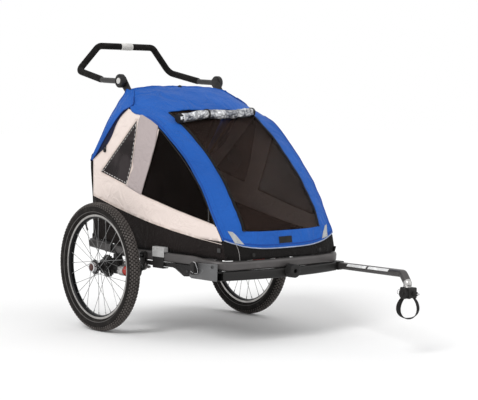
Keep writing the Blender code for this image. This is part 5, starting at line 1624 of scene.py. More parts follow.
def make_adjuster():
    """Slider on the frame tube: its bright ribbed block, and the dark clip under it."""
    outside = FRAME_OUTER + RUNNING_GAP
    inside = SIDE_Y + RUNNING_GAP
    split = 0.3085
    top = [(outside + 0.0035, split), (outside + 0.0035, 0.3430), (outside + 0.001, 0.3462),
           (inside + 0.002, 0.3462), (inside, 0.3440), (inside, 0.3270), (outside, 0.3270),
           (outside, split)]
    low = [(outside + 0.0032, 0.2665), (outside + 0.0032, split - 0.0002),
           (outside, split - 0.0002), (outside, 0.2700), (0.29405, 0.2700), (0.29405, 0.2665)]
    block, clip = [skin([[Vector((x, y, z)) for y, z in section] for x in ends])
                   for section, ends in ((top, (0.268, 0.338)), (low, (0.270, 0.336)))]
    spans = [(0.2745 + k * 0.0082, 0.2782 + k * 0.0082) for k in range(8)]
    grooves = [box(span, (outside + 0.0022, outside + 0.02), (split - 0.01, 0.3415))
               for span in spans]
    grooves += [box(span, (inside + 0.004, outside + 0.02), (0.3448, 0.36)) for span in spans]
    return cut(bevelled(block, 0.0014), *grooves), bevelled(clip, 0.0008, 50, 1)


def make_arm_carrier():
    outline = [(0.045, 0.2870), (0, 0.2800), (-0.0120, 0.2772), (-0.0212, 0.2712),
               (-0.0277, 0.2614), (-0.0300, 0.2500), (-0.0277, 0.2386), (-0.0212, 0.2288),
               (-0.0120, 0.2224), (0, 0.2200), (0.045, 0.2250), (0.079, 0.2265), (0.081, 0.2615),
               (0.0885, 0.2615), (0.0885, 0.2765), (0.081, 0.2890), (0.076, 0.3030),
               (0.052, 0.3030)]
    plate = bevelled(prism(outline, ARM_IN, ARM_OUT), 0.0011)
    housing = bevelled(prism([(0.0535, 0.2265), (0.0785, 0.2265), (0.0785, 0.2890),
                              (0.0750, 0.3030), (0.0535, 0.3030)], ARM_OUT - 0.001,
                             ARM_OUT + 0.0185), 0.0022)
    sleeve = rod((0, ARM_IN - 0.0280, WHEEL_RADIUS), (0, ARM_IN + 0.001, WHEEL_RADIUS), 0.0125, 40)
    slot = box((0.0500, 0.0760), (0.3287, 0.3375), (WHEEL_RADIUS - 0.0028, WHEEL_RADIUS + 0.0028))
    bore = rod((0, 0.28, WHEEL_RADIUS), (0, 0.34, WHEEL_RADIUS), 0.0063, 32)
    gaps = [prism(hull_of_circles([(0.034, 0.2690, 0.0065), (0.045, 0.2710, 0.0058)]), 0.31, 0.34),
            prism(hull_of_circles([(0.034, 0.2380, 0.0062), (0.046, 0.2370, 0.0055)]), 0.31, 0.34),
            bevelled(box((0.0580, 0.0740), (ARM_OUT + 0.0145, 0.36), (0.2700, 0.2850)), 0.002),
            bevelled(box((0.0580, 0.0740), (ARM_OUT + 0.0145, 0.36), (0.2320, 0.2425)), 0.002)]
    return cut(unite(plate, housing, sleeve), slot, bore, *gaps)


def make_arm_strip():
    x, z = PIVOT
    outline = [(0.0887, 0.2612), (0.206, 0.2605), (x - 0.0115, z - 0.0117),
               (x - 0.0062, z - 0.0152), (x, z - 0.0165), (x + 0.0062, z - 0.0152),
               (x + 0.0115, z - 0.0117), (0.2400, 0.2620), (0.2580, 0.2620), (0.2610, 0.2640),
               (0.2620, 0.2670), (0.2610, 0.2700), (0.2580, 0.2720), (0.2385, 0.2735),
               (x + 0.0115, z + 0.0117), (x + 0.0062, z + 0.0152), (x, z + 0.0165),
               (x - 0.0062, z + 0.0152), (x - 0.0115, z + 0.0117), (0.204, 0.2760),
               (0.0887, 0.2766)]
    plate = bevelled(prism(outline, ARM_IN, ARM_OUT), 0.0011)
    groove = prism(hull_of_circles([(0.104, 0.2690, 0.0032), (0.196, 0.2684, 0.0032)]),
                   ARM_OUT - 0.0012, 0.34)
    hole = rod((x, 0.31, z), (x, 0.34, z), 0.0053)
    return cut(plate, groove, hole)


def make_cup():
    profile = [(0.0120, 0.0772), (0.0160, 0.0782), (0.0190, 0.0812), (0.0206, 0.0860),
               (0.0210, 0.0920), (0.0210, 0.1150), (0.0205, 0.1172), (0.0194, 0.1176),
               (0.0186, 0.1168), (0.0185, 0.0940)]
    return turned(profile, (0, CUP_Y, CUP_Z), ALONG_X, 48)


def make_buffer():
    profile = [(0.0176, 0.0944), (0.0180, 0.0950)]
    for x in spread(0.1120, 0.1850, 36):
        waist = 0.0030 * (math.exp(-((x - 0.1230) / 0.0042) ** 2)
                          + math.exp(-((x - 0.1570) / 0.0042) ** 2))
        profile.append((0.0180 - waist, x))
    profile += [(0.0172, 0.1862)]
    return turned(profile, (0, CUP_Y, CUP_Z), ALONG_X, 44)


def dress_frame():
    piece("floor_frame_tube", make_floor_frame(), FRAME_GREY, "chassis",
          ("floor_frame",), 40)
    pair("travel_stop", make_travel_stop(), FRAME_GREY, "chassis")
    piece("front_beam_tube", make_front_beam(), BLACK_METAL, "chassis",
          ("front_beam",), 40)
    socket = turned([(0.0240, 0.6845), (0.0250, 0.6855), (0.0250, 0.7140), (0.0242, 0.7166),
                     (0.0220, 0.7178), (0.0088, 0.7180), (0.0080, 0.7172), (0.0080, 0.6960)],
                    (0, 0, 0.268), ALONG_X, 56)
    piece("front_socket", socket, BLACK_PLASTIC, "chassis", ("wheel_socket",))
    pair("receiver_block", make_receiver(), BLACK_METAL, "chassis", ("receiver",))
    piece("receiver_plate_right", mirrored(make_receiver_plate(True)), PLATE_GREY, "chassis")
    piece("receiver_plate_left", make_receiver_plate(False), PLATE_GREY, "chassis")
    pair("lock_knob_grip", make_lock_knob(), BLACK_PLASTIC, "knob", ("lock_knob",))
    pair("lock_knob_wire", make_knob_wire(), STEEL, "knob")
    pair("pivot_fork", make_pivot_bracket(), BLACK_METAL, "chassis",
         ("pivot_bracket",))
    pair("leaf_and_clamp", make_leaf_spring(), BLACK_PLASTIC, "chassis",
         ("leaf_spring",))
    block, clip = make_adjuster()
    pair("preload_slider", block, LIGHT_METAL, "preload", ("adjuster",))
    pair("preload_clip", clip, BLACK_METAL, "preload")
    pair("arm_carrier", make_arm_carrier(), BLACK_METAL, "arm", ("swing_arm",))
    pair("arm_strip", make_arm_strip(), SILVER, "arm")
    pair("buffer_cup", make_cup(), SILVER, "arm")
    pair("red_buffer", make_buffer(), RED, "arm", ("arm_bumper",))
    plate_bolt = mirrored(round_bolt((0.625, PLATE_OUT, 0.297), ALONG_Y))
    piece("plate_bolt", plate_bolt, DARK_STEEL, "chassis")
    x, z = PIVOT
    bolts = [round_bolt((x, ARM_OUT + 0.0055, z), ALONG_Y, 0.0082, 0.0040),
             bolt((x, ARM_OUT + 0.0055, 0.3105), ALONG_Y, 0.0040),
             round_bolt((0.475, FRAME_OUTER - 0.0005, 0.268), ALONG_Y, 0.0050)]
    pair("frame_bolts", joined(*bolts), DARK_STEEL, "chassis")
    cable = sweep(smooth_line([(0.066, 0.3350, 0.3020), (0.060, 0.3420, 0.3150),
                               (0.046, 0.3400, 0.3330), (0.020, 0.3240, 0.3360),
                               (-0.030, 0.3085, 0.3400), (-0.090, 0.3010, 0.3420),
                               (-0.120, 0.2900, 0.3380)], 8), circle(0.0021, 10))
    pair("brake_cable", cable, SOFT_BLACK, "chassis")


# Drawbar and hitch


def make_drawbar():
    corners = [(0.532, BAR_Y, BAR_Z, 0), (0.672, BAR_Y, BAR_Z, 0.12),
               (1.152, 0.1080, 0.2900, 0.030), (1.179, 0.099, 0.2640, 0)]
    return sweep(route(corners), round_box(BAR_SIZE, BAR_SIZE, 0.008, 6))


def bar_side(t):
    """A point on the drawbar's right face, t along its straight run."""
    a = Vector((0.705, 0.2871, 0.2641))
    b = Vector((1.139, 0.1132, 0.2893))
    run = (b - a).normalized()
    out = run.cross(UP).normalized()
    return a.lerp(b, t), out, run


def make_bar_strip(first, last):
    """Pale strip on the upper part of the drawbar's right face, its ends cut slanting."""
    rings = []
    for k in range(9):
        place, out, run = bar_side(first + (last - first) * k / 8)
        rise = out.cross(run).normalized()
        if rise.z < 0:
            rise = -rise
        ring = []
        for high, deep in ((0.0015, 0.0126), (0.0015, 0.0136), (0.0068, 0.0136), (0.0108, 0.0118),
                           (0.0108, 0.0108)):
            ring.append(place + out * deep + rise * high + run * (high - 0.005) * 1.2)
        rings.append(ring)
    return skin(rings)


def make_elbow():
    end = Vector((1.179, 0.099, 0.2640))
    run = (end - Vector((1.152, 0.1080, 0.2900))).normalized()
    start = end + run * GAP
    foot = Vector((*HITCH, 0.2470))
    line = smooth_line([start, start + run * 0.007, foot + UP * 0.007, foot], 6)
    elbow = sweep(line, circle(0.0145, 36), swell=lambda t: 1 + 0.025 * math.cos(t * 7 * math.tau))
    return joined(elbow, rod(foot + UP * 0.001, foot - UP * 0.014, 0.0060, 24))


def strap_line():
    x, y = HITCH
    across = Vector((0.60, 0.80, 0))
    middle = Vector((x + 0.004, y, 0.1770))
    line = []
    for turn in turns(STRAP_STEPS):
        width = 0.0340 - 0.0050 * math.sin(turn)
        line.append(middle + across * width * math.cos(turn) + UP * 0.0400 * math.sin(turn))
    return line


def make_hitch_strap():
    """Webbing in a twisted loop round the hitch."""
    line = strap_line()
    section = [(0.0110, -0.0009), (0.0110, 0.0009), (0.0100, 0.0014), (-0.0100, 0.0014),
               (-0.0110, 0.0009), (-0.0110, -0.0009), (-0.0100, -0.0014), (0.0100, -0.0014)]
    rings = []
    for k, (point, turn) in enumerate(zip(line, turns(STRAP_STEPS))):
        forward = (line[(k + 1) % STRAP_STEPS] - line[k - 1]).normalized()
        twist = math.radians(-36.9 - 34 * math.cos(turn))
        side = Vector((math.cos(twist), math.sin(twist), 0))
        side = (side - forward * side.dot(forward)).normalized()
        rise = side.cross(forward)
        rings.append([point + side * a + rise * b for a, b in section])
    mesh = skin(rings, closed=True)
    run = distances(closed(line))
    lay_out(mesh, lambda k: (section[k % 8][0], run[k // 8]))
    return mesh


def make_hitch_body():
    x, y = HITCH
    housing = bevelled(box((x - 0.020, x + 0.028), (y - 0.019, y + 0.019), (0.2080, 0.2465)), 0.005,
                       40, 4)
    nose = turned([(0.0080, 0), (0.0080, 0.019), (0.0070, 0.022)], (x + 0.022, y, 0.2260), ALONG_X,
                  32)
    hollow = box((x - 0.030, x + 0.036), (y - 0.0130, y + 0.0130), (0.2062, 0.2110))
    slots = [box((x - 0.016 + k * 0.012, x - 0.011 + k * 0.012), (y - 0.030, y - 0.0175),
                 (0.2335, 0.2425)) for k in range(3)]
    return cut(unite(housing, nose), hollow, *slots)


def make_clamp_knob():
    """Clamp disc with a ribbed rim and a dished face."""
    x, y = HITCH
    outline = []
    for k, turn in enumerate(turns(96)):
        radius = 0.0186 - (0.0010 if k % 4 in (1, 2) else 0)
        outline.append((x + 0.006 + radius * math.cos(turn), 0.226 + radius * math.sin(turn)))
    disc = prism(outline, y - 0.031, y - 0.0185)
    dish = rod((x + 0.006, y - 0.0400, 0.226), (x + 0.006, y - 0.0295, 0.226), 0.0105, 40)
    boss = turned([(0.0050, 0), (0.0050, 0.0022), (0.0040, 0.0030)], (x + 0.006, y - 0.0295, 0.226),
                  -ALONG_Y, 32)
    return joined(bevelled(cut(disc, dish), 0.0005, 50, 1), boss)


def make_hitch_pins():
    """Bright parts of the hitch: swivel washers and the locking pin's ends."""
    x, y = HITCH
    washers = [turned([(0.0120, 0), (0.0120, 0.0016)], (x, y, 0.2466), UP, 36),
               turned([(0.0034, 0), (0.0034, 0.0100), (0.0026, 0.0110)], (x + 0.044, y, 0.226),
                      ALONG_X, 20)]
    pin = rod((x - 0.034, y - 0.004, 0.2290), (x - 0.019, y - 0.004, 0.2290), 0.0028)
    ring = [Vector((x - 0.0365 + 0.008 * math.cos(t), y - 0.004 + 0.002 * math.sin(t),
                    0.2265 + 0.0080 * math.sin(t))) for t in turns(28)]
    loop = sweep(ring, circle(0.0012, 10), side=ALONG_Y, closed=True)
    return joined(*washers, pin, loop)


def dress_drawbar():
    piece("drawbar_tube", make_drawbar(), FRAME_GREY, "chassis", ("drawbar",), 40)
    strips = joined(make_bar_strip(0.02, 0.40), make_bar_strip(0.44, 0.82))
    piece("drawbar_strips", strips, WHITE_STRIP, "chassis")
    piece("elbow_casting", make_elbow(), SILVER, "chassis", ("hitch_elbow",))
    piece("hitch_housing", make_hitch_body(), BLACK_PLASTIC, "hitch",
          ("hitch_body",), 40)
    piece("clamp_knob", make_clamp_knob(), BLACK_PLASTIC, "hitch")
    piece("hitch_pins", make_hitch_pins(), STEEL, "hitch")
    piece("safety_strap", make_hitch_strap(), WEBBING, "hitch", ("hitch_strap",), 50)


# Push bar


def bar_corners():
    return [(HUB[0] - 0.018, 0.2476, HUB[1], 0), (-0.150, 0.2476, 0.9750, 0.10),
            (-0.3460, 0.2330, 1.0165, 0.030), (-0.3380, 0.1380, 1.1200, 0.035)]


def make_push_bar():
    return sweep(route(both_sides(bar_corners())), circle(BAR_TUBE, 28))


def make_bar_hub():
    profile = [(HUB_RADIUS - 0.0022, HUB_IN), (HUB_RADIUS - 0.0004, HUB_IN + 0.0012),
               (HUB_RADIUS, HUB_IN + 0.0035), (HUB_RADIUS, HUB_OUT - 0.0045),
               (HUB_RADIUS - 0.0012, HUB_OUT - 0.0018), (HUB_RADIUS - 0.0045, HUB_OUT),
               (BUTTON_RADIUS + 0.0035, HUB_OUT), (BUTTON_RADIUS + 0.0028, HUB_OUT - 0.0010),
               (BUTTON_RADIUS + GAP, HUB_OUT - 0.0012), (BUTTON_RADIUS + GAP, 0.2475)]
    disc = turned(profile, (HUB[0], 0, HUB[1]), ALONG_Y, 64)
    teeth = rods_round(*HUB, 0.0225, turns(16), HUB_OUT - 0.0016, HUB_OUT + 0.004, 0.0013, 10)
    return cut(disc, *teeth)


def make_grip():
    corners = bar_corners()
    start = Vector(corners[1][:3]).lerp(Vector(corners[2][:3]), 0.06)
    line = route([(*start, 0), corners[2], corners[3],
                  (corners[3][0], SLEEVE_HALF, corners[3][2], 0)])
    even = []
    for a, b in zip(line, line[1:]):
        steps = max(1, round((b - a).length / 0.006))
        even += [a.lerp(b, k / steps) for k in range(steps)]
    even.append(line[-1])

    def swell(t):
        end = min(t, 1 - t)
        return 0.93 + 0.07 * ease(0, 0.012, end)

    return sweep(even, circle(GRIP_RADIUS, 32), swell=swell)


def dress_push_bar():
    piece("push_bar_tube", make_push_bar(), BAR_METAL, "handle", ("push_bar",), 40)
    pair("bar_hub", make_bar_hub(), BLACK_PLASTIC, "handle")
    pair("foam_grip", make_grip(), FOAM, "handle", ("grip",), 50)
    button = turned([(BUTTON_RADIUS, 0.2518), (BUTTON_RADIUS, HUB_OUT + 0.0006),
                     (BUTTON_RADIUS - 0.0008, HUB_OUT + 0.0017),
                     (BUTTON_RADIUS - 0.0030, HUB_OUT + 0.0020), (0.0050, HUB_OUT + 0.0012)],
                    (HUB[0], 0, HUB[1]), ALONG_Y, 48)
    pair("hub_button_cap", button, PALE_PLASTIC, "tilt_button", ("hub_button",))
    sleeve = turned([(0.0118, -SLEEVE_HALF + 0.0006), (0.0146, -SLEEVE_HALF + 0.0010),
                     (0.0150, -SLEEVE_HALF + 0.0030), (0.0150, SLEEVE_HALF - 0.0030),
                     (0.0146, SLEEVE_HALF - 0.0010), (0.0118, SLEEVE_HALF - 0.0006)],
                    (-0.338, 0, 1.120), ALONG_Y, 48)
    piece("bar_sleeve", sleeve, PALE_PLASTIC, "handle")
    neck = bevelled(prism(hull_of_circles([(HUB[0], HUB[1], 0.021), (0.032, 0.894, 0.0135)]),
                          0.2293, 0.2353), 0.0012)
    pins = [rod((0.032, 0.213, 0.894), (0.032, 0.2303, 0.894), 0.0048),
            rod((HUB[0], 0.2343, HUB[1]), (HUB[0], 0.2425, HUB[1]), 0.008)]
    pair("hub_neck_plate", joined(neck, *pins), BLACK_PLASTIC, "cage",
         ("hub_neck",))


# Cabin


def on_cover(places, lift):
    """Points on the cover at (s, v), each with its outward direction."""
    line = []
    for s, v in places:
        out = normal_at(cover_cloth, s, v, COVER_LAST)
        line.append((cover_cloth(s, v) + out * lift, out))
    return line


def ribbon(line, width, thick):
    """A flat tape along a line of (point, outward direction), laid out in metres."""
    points = [p for p, _ in line]
    section = [(1, 0), (0.92, 1), (-0.92, 1), (-1, 0), (-0.9, -0.3), (0.9, -0.3)]
    half = width / 2
    rings = []
    for k, (point, out) in enumerate(line):
        forward = (points[min(k + 1, len(points) - 1)] - points[max(k - 1, 0)]).normalized()
        side = forward.cross(out).normalized()
        up = side.cross(forward)
        rings.append([point + side * half * a + up * thick * b for a, b in section])
    mesh = skin(rings)
    run = distances(points)
    lay_out(mesh, lambda k: (section[k % 6][0] * half, run[k // 6]))
    return mesh


def piping(line, radius):
    return sweep([p for p, _ in line], circle(radius, 8), side=line[0][1])


def dress_cover():
    def hole(s, v):
        return WINDOW_TOP < s < WINDOW_FOOT and abs(v) < WINDOW_SHARE

    mesh = grid_cloth(cover_cloth, COVER_ROWS, COVER_COLUMNS, hole, cover_lip)
    cloth_piece("cover_cloth", mesh, BLUE, "cage", COVER_THICK,
                ["side_bow_left", "side_bow_right"], ("cover",))

    def skirt_point(s, v):
        row = min(s, COVER_LAST)
        place = cover_point(row, v) + cover_normal(row, v) * (cover_fold(row, v) * 0.6 - 0.0012)
        if s > COVER_LAST:
            place.z += (SKIRT_FOOT_Z - place.z) * (s - COVER_LAST)
            place.x -= 0.006 * (s - COVER_LAST)
        return place

    skirt = grid_cloth(skirt_point, spread(HEM - 0.03, COVER_LAST + 1, 20), spread(-1, 1, 70), None,
                       cover_lip)
    cloth_piece("front_skirt", skirt, FRONT_CLOTH, "cage", CLOTH_THICK, ["cover_cloth"])

    def net_point(s, v):
        slack = 0.0036 - 0.0016 * noise.noise(Vector((s * 0.8, v * 3.0, 2.2)))
        return cover_point(s, v) - cover_normal(s, v) * slack

    net = grid_cloth(net_point, spread(WINDOW_TOP - 0.1, WINDOW_FOOT + 0.12, 46),
                     spread(-0.705, 0.705, 34))
    cloth_piece("window_net", net, MESH_NET, "cage", NET_THICK, ["cover_cloth"],
                ("front_window",))

    zip_share = WINDOW_SHARE + 0.004
    for side, name in SIDES:
        edge = [(s, side * zip_share) for s in spread(WINDOW_TOP + 0.05, WINDOW_FOOT - 0.02, 90)]
        piece("zip_tape_" + name, ribbon(on_cover(edge, 0.0006), 0.0120, 0.0007), WEBBING, "cage")
        teeth = row_of(tooth_shape(), [on_cover(edge, 0.0012)], TOOTH, BLACK_PLASTIC)
        piece("zip_teeth_" + name, teeth, BLACK_PLASTIC, "cage")
        seams = [on_cover([(s, side * v) for s in places], 0.0004) for v, places in (
            (WINDOW_SHARE + 0.050, spread(WINDOW_TOP - 0.1, WINDOW_FOOT + 0.1, 70)),
            (0.965, spread(0.1, HEM - 0.05, 90)), (0.930, spread(0.1, HEM - 0.05, 90)))]
        piece("cover_stitches_" + name, stitches(seams, BLUE_THREAD), BLUE_THREAD, "cage")
        binding = piping(on_cover([(s, side * 0.999) for s in spread(2.2, HEM, 90)], 0.0004),
                         0.0019)
        piece("cover_binding_" + name, binding, BLUE_TRIM_AND_FOLD_SHADE, "cage")
        patch = [[(9.34 + 0.60 * t, side * (0.905 - 0.045 * t)),
                  (9.36 + 0.52 * t, side * (0.845 - 0.130 * t))] for t in spread(0, 1, 7)]
        piece("reflective_patch_" + name, patch_on_cover(patch, 0.0012), REFLECTIVE, "cage")
        zip_end = on_cover([(WINDOW_FOOT - 0.02, side * zip_share)], 0.002)[0]
        pull = turned([(0.0032, 0), (0.0038, 0.0010), (0.0030, 0.0026)], *zip_end, 16)
        piece("zip_slider_" + name, pull, BLACK_PLASTIC, "cage")
    hem = piping(on_cover([(HEM, v) for v in spread(-1, 1, 90)], 0.0006), 0.0021)
    piece("hem_piping", hem, PIPING, "cage")
    # A dark blue tape above the hem, standing in as painted shade for the fold's shadow line.
    fold = ribbon(on_cover([(HEM - 0.17, v) for v in spread(-0.99, 0.99, 80)], 0.0004), 0.0045,
                  0.0006)
    piece("hem_fold", fold, BLUE_TRIM_AND_FOLD_SHADE, "cage")
    hem_seam = on_cover([(HEM - 0.09, v) for v in spread(-0.98, 0.98, 80)], 0.0004)
    piece("hem_stitches", stitches([hem_seam], BLUE_THREAD, HEM_STITCH), BLUE_THREAD, "cage")
    plain = [[(9.52, -0.115 + 0.23 * k / 9), (9.78, -0.115 + 0.23 * k / 9)] for k in range(10)]
    piece("plain_patch", patch_on_cover(plain, 0.0011), SOFT_BLACK, "cage")
    stud = turned([(0.0060, 0), (0.0075, 0.0012), (0.0075, 0.0040), (0.0055, 0.0062),
                   (0.0030, 0.0068)], *on_cover([(0.12, 0.0)], 0.0)[0], 28)
    piece("roof_knob", stud, BLACK_PLASTIC, "cage")
    rear_edge = piping(on_cover([(0.0, v) for v in spread(-1, 1, 60)], 0.0), 0.0020)
    piece("roof_edge_binding", rear_edge, BLUE, "cage")


def patch_on_cover(rows, thick):
    """A closed patch lying on the cover, from rows of (s, v) pairs."""
    rings = []
    for (s0, v0), (s1, v1) in rows:
        places = list(zip(spread(s0, s1, 6), spread(v0, v1, 6)))
        top, low = [[p for p, _ in on_cover(places, lift)] for lift in (thick, 0.0001)]
        rings.append(top + low[::-1])
    mesh = skin(rings)
    lay_out(mesh, lambda k: (rings[k // 14][k % 14].y, rings[k // 14][k % 14].z))
    return mesh


def dress_roll():
    """The clear rain window rolled up above the net, with its end bindings and a loop."""
    def middle(v):
        s = 2.72 - 0.20 * v + 0.05 * math.sin(v * 7)
        return cover_point(s, v) + cover_normal(s, v) * 0.0165

    line = [middle(v) for v in spread(-0.73, 0.62, 90)]
    rings = []
    for i, (point, across, rise) in enumerate(frames_along(line, ALONG_X)):
        ring = []
        for k, turn in enumerate(turns(40)):
            spiral = 0.0012 * (k / 40)
            crush = noise.noise(Vector((i * 0.16, math.cos(turn) * 1.6,
                                        math.sin(turn) * 1.6))) * 0.0022
            crush += noise.noise(Vector((i * 0.55, math.cos(turn) * 3.4 + 7,
                                         math.sin(turn) * 3.4))) * 0.0009
            radius = 0.0172 + crush * 1.5 - spiral
            ring.append(point + across * radius * math.cos(turn) * 1.06
                        + rise * radius * math.sin(turn))
        rings.append(ring)
    piece("rolled_window", skin(rings), ROLLED_FILM, "cage", ("window_roll",), 70)
    for name, first, last in (("left", 0.585, 0.628), ("right", -0.738, -0.672)):
        ends = [middle(v) for v in spread(first, last, 10)]
        sleeve = sweep(ends, circle(0.0190, 36), side=ALONG_X,
                       swell=lambda t: 1 - 0.10 * abs(2 * t - 1) ** 6)
        piece("roll_binding_" + name, sleeve, WEBBING_PLAIN, "cage", smooth=50)
    point, across, rise = frames_along([middle(v) for v in (-0.225, -0.215, -0.205)], ALONG_X)[1]
    hoop = [point + across * 0.0196 * math.cos(t) + rise * 0.0192 * math.sin(t) for t in turns(36)]
    loop = sweep(hoop, round_box(0.0022, 0.0080, 0.0008, 2), side=rise, closed=True)
    piece("roll_loop_1", loop, WEBBING_PLAIN, "cage", smooth=50)


def ripple(x, z, size, seed):
    broad = noise.noise(Vector((x * 5.5, z * 5.5, seed))) * size
    return broad + noise.noise(Vector((x * 15, z * 15, seed + 4))) * size * 0.35


def side_wave(lift, size, seed):
    """The Y of rippled cloth at the left side, from its place in side view."""
    return lambda x, z: side_y(x) + lift + ripple(x, z, size, seed)


def side_line(points, lift):
    """An open line in side view, evenly cut, at the left side cloth."""
    line = []
    for (x0, z0), (x1, z1) in zip(points, points[1:]):
        steps = max(1, round(math.hypot(x1 - x0, z1 - z0) / SIDE_STEP))
        line += [(x0 + (x1 - x0) * t, z0 + (z1 - z0) * t)
                 for t in [k / steps for k in range(steps)]]
    line.append(points[-1])
    return [(Vector((x, side_y(x) + lift, z)), ALONG_Y) for x, z in line]


def grown_loop(loop, margin):
    """A closed outline moved outwards by a margin."""
    count = len(loop)
    points = []
    turn = sum(x0 * z1 - x1 * z0 for (x0, z0), (x1, z1) in zip(loop, closed(loop)[1:]))
    sense = 1 if turn > 0 else -1
    for k, (x, z) in enumerate(loop):
        a = Vector((x - loop[k - 1][0], z - loop[k - 1][1])).normalized()
        b = Vector((loop[(k + 1) % count][0] - x, loop[(k + 1) % count][1] - z)).normalized()
        out = Vector((a.y + b.y, -(a.x + b.x))).normalized() * sense
        points.append((x + out.x * margin, z + out.y * margin))
    return points


# Window edges in side view
BIG_EDGE = [(0.169, 0.535), (0.383, 0.484), (0.577, 0.443),
            *under_edge(0.0108, 3.05, 8.95, 22)[::-1], (0.262, 0.745), (0.229, 0.664)]
SMALL_EDGE = rounded(SMALL_WINDOW, 0.0015)


def dress_sides():
    top = under_edge(0.0095, 1.0, 10.0, 60)
    rear = smooth_outline(CREAM_REAR[1:], 5)
    outline = top + CREAM_FOOT[::-1][1:] + rear[::-1]

    def cream_out(x, z):
        near = min(distance_to_loop(x, z, BIG_EDGE), distance_to_loop(x, z, SMALL_EDGE))
        return side_y(x) + 0.0006 + ripple(x, z, 0.0026, 3.0) * ease(0.002, 0.03, near)

    cream = flat_cut(outline, (BIG_EDGE, SMALL_EDGE), 0.0105, cream_out)
    cloth_pair("side_cream", cream, CREAM, CLOTH_THICK, ["side_bow"],
               ["side_panel"])
    skirt_top = [(x, z + 0.004) for x, z in CREAM_FOOT]
    skirt = skirt_top + [(0.634, 0.370), (0.636, 0.3175), (0.560, 0.3200), (0.470, 0.3260),
                         (0.380, 0.3290), (0.150, 0.3290), (0.020, 0.3335), (-0.146, 0.3500)]

    def skirt_out(x, z):
        return side_y(x) - 0.0008 + ripple(x, z, 0.0038, 8.0) * ease(0, 0.03, z - 0.325)

    lower = flat_cut(skirt, (), 0.0115, skirt_out)
    cloth_pair("side_skirt", lower, DARK_CLOTH, CLOTH_THICK, ["side_cream"])
    stripe = flat_cut(STRIPE, (), 0.0095, side_wave(0.0022, 0.0040, 15.0))
    cloth_pair("side_stripe", stripe, GREY_CREAM, STRIPE_THICK, ["side_cream"])
    pane = flat_cut(grown_loop(BIG_EDGE, 0.004), (), 0.0100, side_wave(-0.0026, 0.0030, 12.0))
    cloth_pair("big_side_window", pane, DARK_FILM, FILM_THICK, ["side_cream"],
               ["side_window"])
    small = flat_cut(grown_loop(SMALL_EDGE, 0.004), (), 0.0080, side_wave(-0.0022, 0.0040, 21.0))
    cloth_pair("small_side_window", small, SMALL_FILM, FILM_THICK, ["side_cream"])
    low_edge = BIG_EDGE[:3]
    lines = [side_line(low_edge, 0.0009), side_line(closed(SMALL_EDGE), 0.0009),
             side_line(CREAM_FOOT, 0.0006), side_line(rear, 0.0006)]
    upper = side_line(under_edge(0.0102, 3.0, 9.0, 60), 0.0010)
    squashed_pair("window_binding", piping(upper, 0.0020), SOFT_BLACK)
    cords = joined(*[piping(line, 0.0013) for line in lines])
    squashed_pair("cream_piping", cords, CREAM_CORD)
    seams = [side_line([(x, z - 0.0055) for x, z in low_edge], 0.0014),
             side_line(closed(grown_loop(SMALL_EDGE, 0.0055)), 0.0014),
             side_line([(x, z + 0.0065) for x, z in CREAM_FOOT], 0.0014)]
    squashed_pair("cream_stitches", stitches(seams, PALE_THREAD), PALE_THREAD)
    # Large white tacks round the inside of the small window, standing in as painted highlights for
    # the film's bright crinkles.
    inside = [side_line(closed(grown_loop(SMALL_EDGE, -0.0075)), 0.0006)]
    tack_highlight = stitch_shape(0.0110, 0.0026, 0.0012)
    squashed_pair("window_stitches", row_of(tack_highlight, inside, TACK, WHITE_THREAD_HIGHLIGHT), WHITE_THREAD_HIGHLIGHT)
    dark = [side_line([(x, z - 0.0075) for x, z in CREAM_FOOT[1:-1]], 0.0004)]
    squashed_pair("skirt_stitches", stitches(dark, THREAD), THREAD)


def strip_point(s, v):
    """The blue strip's surface: s counts stations, v runs from the rear edge to the side edge."""
    row = station([a + b for a, b in STRIP], s)
    a = Vector(row[:3])
    b = Vector(row[3:])
    bulge = 0.006 * (1 - v * v) * ease(0, 1.5, s)
    place = a.lerp(b, (v + 1) / 2)
    return place + Vector((-0.5, 0.7, 0.5)).normalized() * bulge


def seam_point(s, v):
    """A point of a seam on the rear panel, with its outward direction."""
    return rear_point(s, v) + BACKWARD * 0.0026, BACKWARD


def dress_rear():
    panel = grid_cloth(lambda s, v: rear_point(s, v)
                       + BACKWARD * ripple(v * 0.28, s * 0.075, 0.0034, 6.0),
                       spread(0, REAR_LAST, 60), spread(-1, 1, 44))
    cloth_piece("rear_cloth", panel, DARK_CLOTH, "chassis", CLOTH_THICK,
                ["rear_frame"], ("rear_panel",), SIDE_FOLD)
    seams = [[seam_point(s, v) for s in spread(0.4, 7.7, 60)] for v in (-0.9, 0.9)]
    seams += [[seam_point(s, v) for v in spread(-0.9, 0.9, 40)] for s in (2.6, 6.05, 7.7)]
    flatten(piece("rear_stitches", stitches(seams, THREAD, REAR_STITCH), THREAD, "chassis"))
    strip = grid_cloth(lambda s, v: strip_point(s, -v), spread(0, STRIP_LAST, 44),
                       spread(-1, 1, 12))
    cloth_pair("rear_strip", strip, BLUE, CLOTH_THICK, [])
    dress_gusset()
    edge = [(strip_point(s, 1) + Vector((0, 0.001, 0)), ALONG_Y)
            for s in spread(1.2, STRIP_LAST, 60)]
    outer = [(strip_point(s, -1) + Vector((-0.001, 0, 0)), BACKWARD)
             for s in spread(0, STRIP_LAST, 60)]
    squashed_pair("strip_binding", joined(piping(edge, 0.0015), piping(outer, 0.0017)), BLUE_TRIM_AND_FOLD_SHADE)


